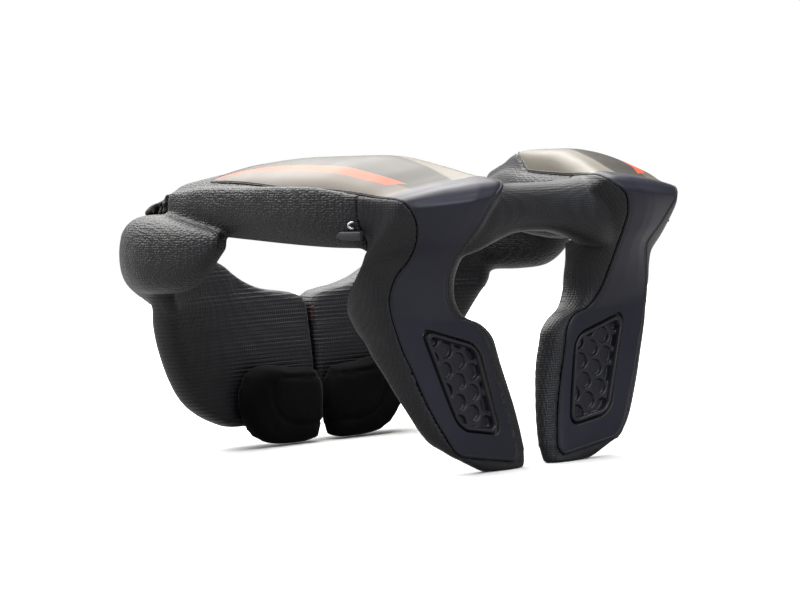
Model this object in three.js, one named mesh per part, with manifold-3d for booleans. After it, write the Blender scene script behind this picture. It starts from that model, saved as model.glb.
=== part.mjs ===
// A motocross neck brace: a padded collar with two front legs, a bridge, two shoulder wings and a back panel.
// Millimetres, +Z up. The front faces -Y, and +X is the wearer's left. The origin is at the middle of the
// bottom of the overall box. Every piece but the bridge and the tack is made for the left and mirrored.
import * as THREE from "three";
import { mergeVertices } from "three/addons/utils/BufferGeometryUtils.js";
import Module from "manifold-3d";

// Driving sizes of the collar: across its corner bulges, from its front to its rear seams, and to its crown
const width = 290;
const depth = 232;
const height = 171;

// Padding and cover plate
const crownHeight = 13; // of a wing's dome over its two seams
const rimWidth = 6; // how far the padding stands outside the plate's border
const plateThickness = 2.5;
const plateCornerRadius = 5;

// Bridge under the chin
const bridgeHeight = 26;
const bridgeDepth = 28;

// Back panel and corner bulges
const panelThickness = 17;
const panelEndRadius = 9;
const bulgeThickness = 34;

// Chest grips
const gripRimWidth = 3;
const gripLipWidth = 1.8; // the raised lip along the rim's outer edge
const gripSunk = 0.5; // how far the cells' walls lie under the lip
const gripDepth = 3.2;
const gripFloor = 1.2;
const gripReach = 30; // longer than the recess is deep, for cutting right through the plate
const gripCornerRadius = 9;
const gripCornerKept = 0.7; // of an inset, which a corner's radius loses inside it
const cellRadius = 4.6;
const cellWall = 1.7;
const leastCell = 0.35; // of its radius, how far a cell at the rim reaches in from it
const cellTurn = 23; // degrees, of the rows against the recess's width
const firstCell = { x: 3.9, y: 12.3 }; // a cell's middle, from the middle of the recess
const cellRows = 5; // most rows of cells on either side of the first cell's row
const cellColumns = 5; // most cells on either side of the first cell
const cellRowPitch = Math.sqrt(3) / 2; // of the pitch across, for cells that stand staggered

// Back pads
const padWidth = 63;
const padHeight = 49;
const padThickness = 14;

// Small parts
const tabLength = 24;
const tabWidth = 20;
const tabThickness = 2.6;
const ribThickness = 2.2;
const ribCount = 4;
const releaseLength = 15;
const releaseHeight = 4.6;
const releaseThickness = 4;
const wireDiameter = 1.3;
const wireLoopRadius = 2.4;
const tackWidth = 3.2;
const tackHeight = 8;
const tackThickness = 1.6;
const tackLean = 10; // degrees, with the face of the back panel
const releaseOut = 2.5; // how far outside the wing's seam the release tab and the wire loop sit
const wireOut = 2;

const clearance = 0.3; // between pieces that touch
const seamGap = 0.4; // half the gap between the two halves of the back panel
const pocketAbove = 0.6; // how far the plate's pocket is cut above its face

// Stance: the collar leans by this angle about a line across the floor, so that the feet of the legs and of
// the back pads stand level.
const lean = 2.3;
const leanLine = 0.608;

const wasm = await Module();
wasm.setup();

// Leans a point given in millimetres in the upright collar, with y from its middle
function stand(x, y, z) {
  const line = (leanLine - 0.5) * depth;
  const point = new THREE.Vector3(x, y - line, z);
  point.applyAxisAngle(new THREE.Vector3(1, 0, 0), THREE.MathUtils.degToRad(lean));
  point.y += line;
  return point;
}

// Turns shares of the overall sizes into a point: x from the middle, y from the front, z from the bottom
function at(x, y, z) {
  return stand((x * width) / 2, (y - 0.5) * depth, z * height);
}

// Sections of one side from the wing's rear end, over the front ridge and down the leg.
// in and out are the two seams of the top surface, in shares of the overall sizes, rise is the dome between
// them in shares of crownHeight, and tilt is the direction it rises in, from forward (0) to up (90 degrees).
const surfaceRows = [
  { in: [0.772, 0.802, 0.838], out: [0.814, 0.802, 0.842], rise: 0.15, tilt: 90 },
  { in: [0.75, 0.784, 0.862], out: [0.83, 0.784, 0.868], rise: 0.3, tilt: 90 },
  { in: [0.703, 0.724, 0.884], out: [0.834, 0.724, 0.88], rise: 0.4, tilt: 90 },
  { in: [0.65, 0.659, 0.904], out: [0.838, 0.659, 0.892], rise: 0.44, tilt: 90 },
  { in: [0.579, 0.586, 0.92], out: [0.838, 0.586, 0.899], rise: 0.64, tilt: 90 },
  { in: [0.476, 0.487, 0.927], out: [0.834, 0.49, 0.904], rise: 0.86, tilt: 90 },
  { in: [0.393, 0.384, 0.924], out: [0.828, 0.388, 0.906], rise: 1, tilt: 90 },
  { in: [0.331, 0.276, 0.924], out: [0.797, 0.276, 0.906], rise: 1.08, tilt: 90 },
  { in: [0.29, 0.168, 0.927], out: [0.748, 0.168, 0.898], rise: 0.7, tilt: 90 },
  { in: [0.269, 0.1, 0.933], out: [0.714, 0.116, 0.889], rise: 0.3, tilt: 88 },
  { in: [0.259, 0.05, 0.934], out: [0.693, 0.078, 0.886], rise: 0.14, tilt: 75 },
  { in: [0.259, 0.024, 0.924], out: [0.683, 0.058, 0.88], rise: 0.12, tilt: 45 },
  { in: [0.283, 0.011, 0.906], out: [0.672, 0.049, 0.868], rise: 0.1, tilt: 15 },
  { in: [0.328, 0.004, 0.877], out: [0.655, 0.043, 0.848], rise: 0.08, tilt: 0 },
  { in: [0.362, 0.017, 0.819], out: [0.628, 0.047, 0.813], rise: 0.06, tilt: 0 },
  { in: [0.383, 0.045, 0.76], out: [0.603, 0.065, 0.76], rise: 0.06, tilt: 0 },
  { in: [0.403, 0.078, 0.702], out: [0.59, 0.097, 0.702], rise: 0.06, tilt: 0 },
  { in: [0.407, 0.101, 0.643], out: [0.624, 0.121, 0.643], rise: 0.06, tilt: 0 },
  { in: [0.393, 0.114, 0.585], out: [0.641, 0.129, 0.585], rise: 0.06, tilt: 0 },
  { in: [0.37, 0.12, 0.545], out: [0.638, 0.129, 0.545], rise: 0.06, tilt: 0 },
  { in: [0.331, 0.123, 0.509], out: [0.631, 0.127, 0.515], rise: 0.05, tilt: 0 },
  { in: [0.248, 0.122, 0.482], out: [0.621, 0.124, 0.487], rise: 0.05, tilt: 0 },
  { in: [0.21, 0.118, 0.444], out: [0.608, 0.12, 0.45], rise: 0.05, tilt: 0 },
  { in: [0.193, 0.113, 0.4], out: [0.59, 0.115, 0.408], rise: 0.05, tilt: 0 },
  { in: [0.177, 0.11, 0.345], out: [0.564, 0.108, 0.36], rise: 0.05, tilt: 0 },
  { in: [0.141, 0.1, 0.234], out: [0.51, 0.094, 0.251], rise: 0.05, tilt: 0 },
  { in: [0.11, 0.084, 0.117], out: [0.441, 0.074, 0.14], rise: 0.05, tilt: 0 },
  { in: [0.103, 0.073, 0.05], out: [0.403, 0.068, 0.091], rise: 0.05, tilt: 0 },
  { in: [0.109, 0.069, 0.018], out: [0.386, 0.066, 0.078], rise: 0.03, tilt: 0 },
  { in: [0.15, 0.071, -0.02], out: [0.352, 0.067, 0.058], rise: 0.02, tilt: 0 },
];

// The padding behind each of those sections: in and out are the far corners in shares of the overall sizes,
// rims are how far the padding stands outside the seams there, in shares of rimWidth, and lip is how far the
// outer rim starts above its seam, in shares of the padding's depth there.
const backRows = [
  { in: [0.745, 0.802, 0.784], out: [0.807, 0.802, 0.784], rimIn: 0.3, rimOut: 0.4, lip: 0.02 },
  { in: [0.71, 0.784, 0.757], out: [0.82, 0.784, 0.76], rimIn: 0.6, rimOut: 0.8, lip: 0.02 },
  { in: [0.655, 0.724, 0.737], out: [0.824, 0.724, 0.743], rimIn: 0.9, rimOut: 1, lip: 0.04 },
  { in: [0.607, 0.659, 0.728], out: [0.824, 0.659, 0.74], rimIn: 1, rimOut: 1.1, lip: 0.06 },
  { in: [0.545, 0.586, 0.723], out: [0.821, 0.586, 0.738], rimIn: 1, rimOut: 1.2, lip: 0.06 },
  { in: [0.462, 0.487, 0.721], out: [0.814, 0.49, 0.736], rimIn: 1, rimOut: 1.2, lip: 0.06 },
  { in: [0.379, 0.384, 0.719], out: [0.807, 0.388, 0.734], rimIn: 1, rimOut: 1.45, lip: 0.2 },
  { in: [0.324, 0.276, 0.717], out: [0.776, 0.276, 0.732], rimIn: 1, rimOut: 1.6, lip: 0.24 },
  { in: [0.29, 0.181, 0.719], out: [0.734, 0.172, 0.734], rimIn: 0.9, rimOut: 0.8, lip: 0.06 },
  { in: [0.283, 0.183, 0.711], out: [0.717, 0.168, 0.728], rimIn: 0.8, rimOut: 0.6, lip: 0.02 },
  { in: [0.286, 0.185, 0.705], out: [0.71, 0.166, 0.722], rimIn: 0.8, rimOut: 0.5, lip: 0 },
  { in: [0.29, 0.188, 0.699], out: [0.71, 0.165, 0.716], rimIn: 0.8, rimOut: 0.5, lip: 0 },
  { in: [0.293, 0.19, 0.693], out: [0.71, 0.165, 0.711], rimIn: 0.8, rimOut: 0.6, lip: 0 },
  { in: [0.297, 0.192, 0.684], out: [0.714, 0.167, 0.702], rimIn: 0.8, rimOut: 0.8, lip: 0 },
  { in: [0.3, 0.194, 0.673], out: [0.714, 0.171, 0.69], rimIn: 0.8, rimOut: 1, lip: -0.02 },
  { in: [0.303, 0.196, 0.655], out: [0.714, 0.179, 0.673], rimIn: 0.8, rimOut: 1.1, lip: -0.04 },
  { in: [0.303, 0.198, 0.632], out: [0.71, 0.194, 0.646], rimIn: 0.8, rimOut: 1.2, lip: -0.04 },
  { in: [0.3, 0.2, 0.602], out: [0.703, 0.218, 0.608], rimIn: 0.8, rimOut: 1.1, lip: -0.04 },
  { in: [0.297, 0.2, 0.561], out: [0.693, 0.24, 0.567], rimIn: 0.8, rimOut: 1, lip: -0.04 },
  { in: [0.285, 0.198, 0.53], out: [0.686, 0.247, 0.53], rimIn: 0.8, rimOut: 0.9, lip: -0.04 },
  { in: [0.255, 0.19, 0.498], out: [0.676, 0.24, 0.5], rimIn: 0.8, rimOut: 0.9, lip: -0.04 },
  { in: [0.186, 0.18, 0.47], out: [0.666, 0.229, 0.47], rimIn: 0.8, rimOut: 0.8, lip: -0.04 },
  { in: [0.124, 0.17, 0.435], out: [0.655, 0.208, 0.438], rimIn: 1.05, rimOut: 0.8, lip: -0.04 },
  { in: [0.108, 0.165, 0.392], out: [0.64, 0.197, 0.4], rimIn: 1.05, rimOut: 0.8, lip: -0.04 },
  { in: [0.1, 0.16, 0.337], out: [0.614, 0.179, 0.349], rimIn: 1.05, rimOut: 0.8, lip: -0.04 },
  { in: [0.09, 0.14, 0.222], out: [0.552, 0.147, 0.24], rimIn: 0.8, rimOut: 0.8, lip: -0.04 },
  { in: [0.076, 0.119, 0.105], out: [0.462, 0.125, 0.129], rimIn: 0.6, rimOut: 0.8, lip: -0.04 },
  { in: [0.083, 0.11, 0.041], out: [0.4, 0.116, 0.1], rimIn: 0.6, rimOut: 0.7, lip: -0.04 },
  { in: [0.102, 0.108, 0.009], out: [0.372, 0.112, 0.082], rimIn: 0.5, rimOut: 0.6, lip: -0.04 },
  { in: [0.15, 0.099, -0.02], out: [0.33, 0.103, 0.058], rimIn: 0.2, rimOut: 0.2, lip: -0.04 },
];

// Where the plate begins and ends along those sections, by section number
const plateTip = 3.1;
const plateTipBlunt = 0.03;
const plateFullWidth = 6;
const plateBottom = 27;
const tipRowLength = 15; // length of one row at the tip and at the foot
const footRowLength = 6;
const plateTipAcross = 0.88; // where across the wing the plate's rear tip lies, from the neck side

// Corner bulge: its spine in plan, its top and bottom in shares of the overall sizes, and how thick it is in
// shares of bulgeThickness, from the back panel round the rear corner to under the wing.
const bulgeRows = [
  { spine: [0.4, 0.95], top: 0.6, bottom: 0.37, thick: 0.45 },
  { spine: [0.58, 0.945], top: 0.655, bottom: 0.4, thick: 0.7 },
  { spine: [0.724, 0.922], top: 0.735, bottom: 0.455, thick: 0.9 },
  { spine: [0.85, 0.865], top: 0.8, bottom: 0.51, thick: 1.05 },
  { spine: [0.9, 0.77], top: 0.825, bottom: 0.505, thick: 1.05 },
  { spine: [0.905, 0.68], top: 0.82, bottom: 0.535, thick: 0.8 },
  { spine: [0.895, 0.61], top: 0.815, bottom: 0.605, thick: 0.5 },
  { spine: [0.87, 0.56], top: 0.8, bottom: 0.7, thick: 0.3 },
];

// Back panel: level, where it begins and ends sideways and the front face at those two ends, in shares of
// the overall sizes.
const panelRows = [
  { z: 0.05, from: 0, to: 0.42, front: 0.9, end: 0.908 },
  { z: 0.095, from: 0, to: 0.545, front: 0.9, end: 0.9 },
  { z: 0.152, from: 0, to: 0.64, front: 0.9, end: 0.89 },
  { z: 0.24, from: 0, to: 0.715, front: 0.9, end: 0.88 },
  { z: 0.363, from: 0, to: 0.785, front: 0.914, end: 0.865 },
  { z: 0.45, from: 0, to: 0.83, front: 0.928, end: 0.84 },
  { z: 0.48, from: 0.02, to: 0.84, front: 0.932, end: 0.825 },
  { z: 0.515, from: 0.228, to: 0.855, front: 0.934, end: 0.82 },
  { z: 0.55, from: 0.324, to: 0.855, front: 0.932, end: 0.82 },
  { z: 0.59, from: 0.4, to: 0.85, front: 0.928, end: 0.82 },
  { z: 0.632, from: 0.48, to: 0.84, front: 0.92, end: 0.82 },
  { z: 0.68, from: 0.56, to: 0.82, front: 0.905, end: 0.83 },
];

// Bridge: stations across in shares of the overall width, its middle in shares of the depth and height, and
// its size in shares of bridgeHeight and bridgeDepth.
const bridgeRows = [
  { x: -0.42, y: 0.13, z: 0.79, tall: 1.5, deep: 1 },
  { x: -0.3, y: 0.115, z: 0.815, tall: 1.45, deep: 1.14 },
  { x: -0.2, y: 0.115, z: 0.826, tall: 1.22, deep: 1.04 },
  { x: -0.1, y: 0.12, z: 0.834, tall: 1.03, deep: 0.97 },
  { x: 0, y: 0.122, z: 0.836, tall: 1, deep: 0.95 },
  { x: 0.1, y: 0.12, z: 0.834, tall: 1.03, deep: 0.97 },
  { x: 0.2, y: 0.115, z: 0.826, tall: 1.22, deep: 1.04 },
  { x: 0.3, y: 0.115, z: 0.815, tall: 1.45, deep: 1.14 },
  { x: 0.42, y: 0.13, z: 0.79, tall: 1.5, deep: 1 },
];

// Corners of the chest grip's recess on the plate, in shares of the overall sizes
const gripCorners = {
  outerTop: at(0.519, 0.12, 0.492),
  innerTop: at(0.238, 0.117, 0.422),
  innerBottom: at(0.166, 0.086, 0.132),
  outerBottom: at(0.381, 0.082, 0.163),
};

// The seam that parts the wing's padding from the leg's, and the level under which all padding is the leg's
const wingSeamY = 0.151;
const wingSeamZ = 0.718;

// Where the small parts sit, in shares of the overall sizes
const releaseSeat = { y: 0.168, z: 0.772 };
const wireSeat = { y: 0.16, z: 0.804 };
const tabSeat = { x: 0.765, y: 0.812, z: 0.86 };
const tackSeat = { y: 0.922, z: 0.42 };

// The back pads' rear face and the level of their outline's foot, in shares of the depth and the height
const padBack = 0.906;
const padFoot = -0.017;

// Outline of a back pad in shares of padWidth and padHeight, from its lower inner corner round
const padOutline = [
  [0.07, 0.04],
  [0.01, 0.4],
  [0.02, 0.75],
  [0.12, 0.92],
  [0.36, 0.94],
  [0.58, 0.99],
  [0.76, 1],
  [0.9, 0.9],
  [0.98, 0.7],
  [0.98, 0.5],
  [0.89, 0.25],
  [0.72, 0.06],
  [0.38, -0.01],
];

// Layers of a back pad: how far out in shares of padThickness, and how large its outline is there
const padLayers = [
  { out: 0, scale: 0.93 },
  { out: 0.25, scale: 1 },
  { out: 0.6, scale: 0.99 },
  { out: 0.85, scale: 0.92 },
  { out: 1, scale: 0.78 },
];
const padMiddle = { x: 0.5, z: 0.48 };

// Sampling
const acrossSteps = 6;
const sideSteps = 12;
const ringsPerRow = 1;
const tipRingsPerRow = 3;
const footShares = [0.5, 0.75, 0.87, 0.95, 1]; // rings of the plate's last row, closer towards its round corners
const roundSteps = 14;
const padSteps = 22;
const panelSteps = 5;
const panelEndSteps = 6;
const gripCornerSteps = 2;
const cellSides = 8;
const wireSides = 6;
const wireSteps = 8;

// A closed solid through rings of the same number of points, with flat fans over its two ends
function loft(rings) {
  const count = rings[0].length;
  const positions = rings.flat().flatMap((p) => [p.x, p.y, p.z]);
  const faces = [];
  for (let r = 0; r < rings.length - 1; r++) {
    for (let i = 0; i < count; i++) {
      const j = (i + 1) % count;
      const low = r * count;
      const high = low + count;
      faces.push(low + i, low + j, high + j, low + i, high + j, high + i);
    }
  }
  for (const [ring, turned] of [[0, true], [rings.length - 1, false]]) {
    const middle = new THREE.Vector3();
    rings[ring].forEach((p) => middle.addScaledVector(p, 1 / count));
    const hub = positions.length / 3;
    positions.push(middle.x, middle.y, middle.z);
    for (let i = 0; i < count; i++) {
      const a = ring * count + i;
      const b = ring * count + ((i + 1) % count);
      faces.push(...(turned ? [hub, b, a] : [hub, a, b]));
    }
  }
  const geometry = new THREE.BufferGeometry();
  geometry.setAttribute("position", new THREE.Float32BufferAttribute(positions, 3));
  geometry.setIndex(faces);
  return geometry;
}

// A geometry as a solid that can be joined and cut. Faces that point inwards are turned first.
function solidOf(geometry) {
  const bare = geometry.clone();
  bare.deleteAttribute("normal");
  bare.deleteAttribute("uv");
  const merged = mergeVertices(bare, 1e-4);
  const positions = merged.attributes.position.array;
  const faces = new Uint32Array(merged.index.array);
  const make = () => new wasm.Manifold(new wasm.Mesh({ numProp: 3, vertProperties: positions, triVerts: faces }));
  const solid = make();
  if (solid.volume() > 0) return solid;
  for (let i = 0; i < faces.length; i += 3) {
    [faces[i + 1], faces[i + 2]] = [faces[i + 2], faces[i + 1]];
  }
  return make();
}

function geometryOf(solid) {
  const mesh = solid.getMesh();
  const geometry = new THREE.BufferGeometry();
  const positions = new Float32Array(mesh.numVert * 3);
  for (let i = 0; i < mesh.numVert; i++) {
    positions.set(mesh.vertProperties.subarray(i * mesh.numProp, i * mesh.numProp + 3), i * 3);
  }
  geometry.setAttribute("position", new THREE.BufferAttribute(positions, 3));
  geometry.setIndex(new THREE.BufferAttribute(mesh.triVerts, 1));
  return geometry;
}

// A box between two corners
function boxOf(low, high) {
  const size = new THREE.Vector3().subVectors(high, low);
  const geometry = new THREE.BoxGeometry(size.x, size.y, size.z);
  geometry.translate((low.x + high.x) / 2, (low.y + high.y) / 2, (low.z + high.z) / 2);
  return solidOf(geometry);
}

// A smooth track through one named triple of numbers of a table's rows, read by section number
function track(rows, pick) {
  const curve = new THREE.CatmullRomCurve3(rows.map((row) => new THREE.Vector3(...pick(row))));
  return (section) => curve.getPoint(THREE.MathUtils.clamp(section / (rows.length - 1), 0, 1));
}

const inSeam = track(surfaceRows, (row) => at(...row.in));
const outSeam = track(surfaceRows, (row) => at(...row.out));
const dome = track(surfaceRows, (row) => [row.rise * crownHeight, row.tilt, 0]);
const inBack = track(backRows, (row) => at(...row.in));
const outBack = track(backRows, (row) => at(...row.out));
const rims = track(backRows, (row) => [row.rimIn * rimWidth, row.rimOut * rimWidth, row.lip]);

// The arch of the dome: 0 at both seams, 1 at its crest, which lies nearer the neck side
function arch(across) {
  const even = Math.pow(THREE.MathUtils.clamp(across, 0, 1), 0.6);
  return Math.pow(1 - Math.pow(2 * even - 1, 2), 0.6);
}

// Points of the top surface at a section, from across share a to share b
function surfacePoints(section, a, b, steps) {
  const near = inSeam(section);
  const far = outSeam(section);
  const { x: rise, y: tilt } = dome(section);
  const up = THREE.MathUtils.degToRad(tilt);
  const points = [];
  for (let i = 0; i <= steps; i++) {
    const across = a + ((b - a) * (1 - Math.cos((Math.PI * i) / steps))) / 2;
    const point = near.clone().lerp(far, across);
    point.y -= rise * arch(across) * Math.cos(up);
    point.z += rise * arch(across) * Math.sin(up);
    points.push(point);
  }
  return points;
}

// The padding's ring at a section: over the top surface and back round its sides and underside
function paddingRing(section) {
  const near = inSeam(section);
  const far = outSeam(section);
  const nearBack = inBack(section);
  const farBack = outBack(section);
  const { x: rimIn, y: rimOut, z: lip } = rims(section);
  const outward = far.clone().sub(near).normalize();
  const beside = (from, to, share, offset) => from.clone().lerp(to, share).addScaledVector(outward, offset);
  const sides = new THREE.CatmullRomCurve3([
    far,
    beside(far, farBack, 0.08 - lip, rimOut * 0.7),
    beside(far, farBack, 0.4, rimOut * 1.1),
    beside(far, farBack, 0.8, rimOut * 0.8),
    beside(far, farBack, 1, -rimOut * 0.2),
    beside(farBack, nearBack, 0.5, 0),
    beside(near, nearBack, 1, rimIn * 0.3),
    beside(near, nearBack, 0.8, -rimIn * 0.8),
    beside(near, nearBack, 0.4, -rimIn * 1.1),
    beside(near, nearBack, 0.12, -rimIn * 0.75),
    near,
  ], false, "centripetal").getPoints(sideSteps);
  return [...surfacePoints(section, 0, 1, acrossSteps), ...sides.slice(1, -1)];
}

function sectionsBetween(first, last, perRow) {
  const steps = Math.round((last - first) * perRow);
  return Array.from({ length: steps + 1 }, (unused, i) => first + ((last - first) * i) / steps);
}

// The plate's ring at a section: its outer face, then its inner face. The ring reaches above the surface and
// below it as given, and its border is moved outwards by grow.
function plateRing(section, above, below, grow) {
  const inwards = section <= plateFullWidth ? grow / tipRowLength : -grow / footRowLength;
  const [a, b] = plateSpan(section + inwards);
  const points = surfacePoints(section, a, b, acrossSteps);
  const direction = points[acrossSteps].clone().sub(points[0]).normalize();
  const { y: tilt } = dome(section);
  const up = THREE.MathUtils.degToRad(tilt);
  const lift = new THREE.Vector3(0, -Math.cos(up), Math.sin(up));
  const normals = points.map((point, i) => {
    const ahead = points[Math.min(i + 1, acrossSteps)];
    const behind = points[Math.max(i - 1, 0)];
    const along = ahead.clone().sub(behind);
    const run = along.dot(direction);
    const climb = along.dot(lift);
    return lift.clone().multiplyScalar(run).addScaledVector(direction, -climb).normalize();
  });
  const firstRun = points[1].clone().sub(points[0]).normalize();
  const lastRun = points[acrossSteps].clone().sub(points[acrossSteps - 1]).normalize();
  points[0].addScaledVector(firstRun, -grow);
  points[acrossSteps].addScaledVector(lastRun, grow);
  const outer = points.map((point, i) => point.clone().addScaledVector(normals[i], above));
  const inner = points.map((point, i) => point.clone().addScaledVector(normals[i], -below));
  return [...outer, ...inner.reverse()];
}

// How far the plate reaches across at a section: it closes to a round tip at the rear and has round corners
// at the bottom of the leg.
function plateSpan(wanted) {
  const section = THREE.MathUtils.clamp(wanted, plateTip + plateTipBlunt, plateBottom);
  const length = inSeam(section).distanceTo(outSeam(section));
  let closing = 0;
  if (section < plateFullWidth) {
    const along = (plateFullWidth - section) / (plateFullWidth - plateTip);
    closing = 1 - Math.sqrt(Math.max(0, 1 - along * along));
  }
  let corner = 0;
  const left = inSeam(section).distanceTo(inSeam(plateBottom));
  if (section > plateBottom - 1 && left < plateCornerRadius) {
    const along = (plateCornerRadius - left) / plateCornerRadius;
    corner = (plateCornerRadius * (1 - Math.sqrt(1 - along * along * 0.96))) / length;
  }
  return [Math.max(plateTipAcross * closing, corner), 1 - Math.max((1 - plateTipAcross) * closing, corner)];
}

function plateSolid(above, below, grow) {
  const tip = sectionsBetween(plateTip, plateFullWidth, tipRingsPerRow).slice(1);
  const body = sectionsBetween(plateFullWidth, plateBottom - 1, ringsPerRow).slice(1);
  const foot = footShares.map((share) => plateBottom - 1 + share);
  const first = plateTip + plateTipBlunt - grow / tipRowLength;
  const last = plateBottom + grow / footRowLength;
  const stations = [first, ...tip, ...body, ...foot.slice(0, -1), last];
  return solidOf(loft(stations.map((section) => plateRing(section, above, below, grow))));
}

// Corner bulge: rounded rings that stand across its spine
function bulgeSolid() {
  const spine = track(bulgeRows, (row) => at(row.spine[0], row.spine[1], (row.top + row.bottom) / 2));
  const sizes = track(bulgeRows, (row) => [
    ((row.top - row.bottom) * height) / 2,
    (row.thick * bulgeThickness) / 2,
    0,
  ]);
  const last = bulgeRows.length - 1;
  const rings = sectionsBetween(0, last, ringsPerRow).map((section) => {
    const middle = spine(section);
    const ahead = spine(section + 0.1).sub(spine(section - 0.1));
    const across = new THREE.Vector3(-ahead.y, ahead.x, 0).normalize();
    const { x: halfTall, y: halfThick } = sizes(section);
    return roundRing(middle, across, new THREE.Vector3(0, 0, 1), halfThick, halfTall, 0.8);
  });
  return solidOf(loft(rings));
}

// A ring between an ellipse (power 1) and a rectangle (power towards 0)
function roundRing(middle, sideways, upwards, halfWide, halfTall, power) {
  const points = [];
  for (let i = 0; i < roundSteps; i++) {
    const angle = (2 * Math.PI * i) / roundSteps;
    const c = Math.cos(angle);
    const s = Math.sin(angle);
    const point = middle.clone();
    point.addScaledVector(sideways, halfWide * Math.sign(c) * Math.pow(Math.abs(c), power));
    point.addScaledVector(upwards, halfTall * Math.sign(s) * Math.pow(Math.abs(s), power));
    points.push(point);
  }
  return points;
}

// Half of the back panel, as level rings with a straight inner end and a round outer end. Its front, its end
// and its foot are moved outwards by grow.
function panelSolid(grow) {
  const spans = track(panelRows, (row) => [(row.from * width) / 2 + seamGap, (row.to * width) / 2, row.z * height]);
  const fronts = track(panelRows, (row) => [(row.front - 0.5) * depth, (row.end - 0.5) * depth, 0]);
  const rings = sectionsBetween(0, panelRows.length - 1, ringsPerRow).map((section) => {
    const { x: inner, y: to, z: upright } = spans(section);
    const level = upright - (section === 0 ? grow : 0);
    const from = Math.max(inner, seamGap);
    const { x: frontFrom, y: frontTo } = fronts(section);
    const turn = to - panelEndRadius;
    const halfThick = panelThickness / 2;
    const front = [];
    const rear = [];
    for (let i = 0; i <= panelSteps; i++) {
      const share = i / panelSteps;
      const x = THREE.MathUtils.lerp(from, turn, share);
      const y = THREE.MathUtils.lerp(frontFrom, frontTo, Math.pow(share, 2.5));
      front.push(stand(x, y - grow, level));
      rear.push(stand(x, y + panelThickness, level));
    }
    const end = [];
    for (let i = 1; i < panelEndSteps; i++) {
      const angle = (Math.PI * i) / panelEndSteps;
      const x = turn + (panelEndRadius + grow) * Math.sin(angle);
      const y = frontTo + halfThick - (halfThick + grow) * Math.cos(angle);
      end.push(stand(x, y, level));
    }
    return [...front, ...end, ...rear.reverse()];
  });
  return solidOf(loft(rings));
}

function bridgeSolid() {
  const forward = new THREE.Vector3(0, 1, 0);
  const upward = new THREE.Vector3(0, 0, 1);
  const middles = track(bridgeRows, (row) => at(row.x, row.y, row.z));
  const sizes = track(bridgeRows, (row) => [(row.deep * bridgeDepth) / 2, (row.tall * bridgeHeight) / 2, 0]);
  const rings = sectionsBetween(0, bridgeRows.length - 1, ringsPerRow).map((section) => {
    const { x: halfDeep, y: halfTall } = sizes(section);
    return roundRing(middles(section), forward, upward, halfDeep, halfTall, 0.8);
  });
  return solidOf(loft(rings));
}

// Plane of the grip: across from the inner to the outer edge, along from bottom to top, outward to the front
function gripFrame() {
  const { outerTop, innerTop, innerBottom, outerBottom } = gripCorners;
  const middle = new THREE.Vector3();
  [outerTop, innerTop, innerBottom, outerBottom].forEach((p) => middle.addScaledVector(p, 0.25));
  const across = outerTop.clone().add(outerBottom).sub(innerTop).sub(innerBottom).normalize();
  const rough = outerTop.clone().add(innerTop).sub(outerBottom).sub(innerBottom);
  const outward = new THREE.Vector3().crossVectors(across, rough).normalize();
  const along = new THREE.Vector3().crossVectors(outward, across).normalize();
  return new THREE.Matrix4().makeBasis(across, along, outward).setPosition(middle);
}

// The grip's outline in its own plane, moved inwards by an inset, with round corners
function gripOutline(inset) {
  const toPlane = gripFrame().invert();
  const { outerTop, innerTop, innerBottom, outerBottom } = gripCorners;
  const corners = [innerBottom, outerBottom, outerTop, innerTop].map((p) => {
    const flat = p.clone().applyMatrix4(toPlane);
    return new THREE.Vector2(flat.x, flat.y);
  });
  const edges = corners.map((corner, i) => {
    const next = corners[(i + 1) % 4];
    const run = next.clone().sub(corner).normalize();
    const inwards = new THREE.Vector2(-run.y, run.x);
    return { point: corner.clone().addScaledVector(inwards, inset), run };
  });
  const meet = (one, two) => {
    const gap = two.point.clone().sub(one.point);
    const reach = gap.cross(two.run) / one.run.cross(two.run);
    return one.point.clone().addScaledVector(one.run, reach);
  };
  const moved = edges.map((edge, i) => meet(edges[(i + 3) % 4], edge));
  const radius = gripCornerRadius - inset * gripCornerKept;
  const path = new THREE.Shape();
  moved.forEach((corner, i) => {
    const enter = corner.clone().addScaledVector(edges[(i + 3) % 4].run, -radius);
    const leave = corner.clone().addScaledVector(edges[i].run, radius);
    if (i === 0) path.moveTo(enter.x, enter.y);
    else path.lineTo(enter.x, enter.y);
    path.quadraticCurveTo(corner.x, corner.y, leave.x, leave.y);
  });
  path.closePath();
  return path;
}

function gripPrism(inset, from, to) {
  const geometry = new THREE.ExtrudeGeometry(gripOutline(inset), {
    depth: to - from,
    bevelEnabled: false,
    curveSegments: gripCornerSteps,
  });
  geometry.translate(0, 0, from);
  geometry.applyMatrix4(gripFrame());
  return solidOf(geometry);
}

// Middles of the round cells: staggered rows, with the cells that the rim cuts
function cellMiddles() {
  const pitch = 2 * cellRadius + cellWall;
  const inner = gripOutline(gripRimWidth - cellRadius * (1 - 2 * leastCell)).getPoints(gripCornerSteps);
  const inside = (x, y) => inner.every((a, i) => {
    const b = inner[(i + 1) % inner.length];
    return (b.x - a.x) * (y - a.y) - (b.y - a.y) * (x - a.x) >= 0;
  });
  const middles = [];
  for (let row = -cellRows; row <= cellRows; row++) {
    for (let column = -cellColumns; column <= cellColumns; column++) {
      const spot = new THREE.Vector2((column + (row % 2 ? 0.5 : 0)) * pitch, row * pitch * cellRowPitch);
      spot.rotateAround(new THREE.Vector2(), THREE.MathUtils.degToRad(cellTurn)).add(firstCell);
      if (inside(spot.x, spot.y)) middles.push(spot);
    }
  }
  return middles;
}

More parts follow.
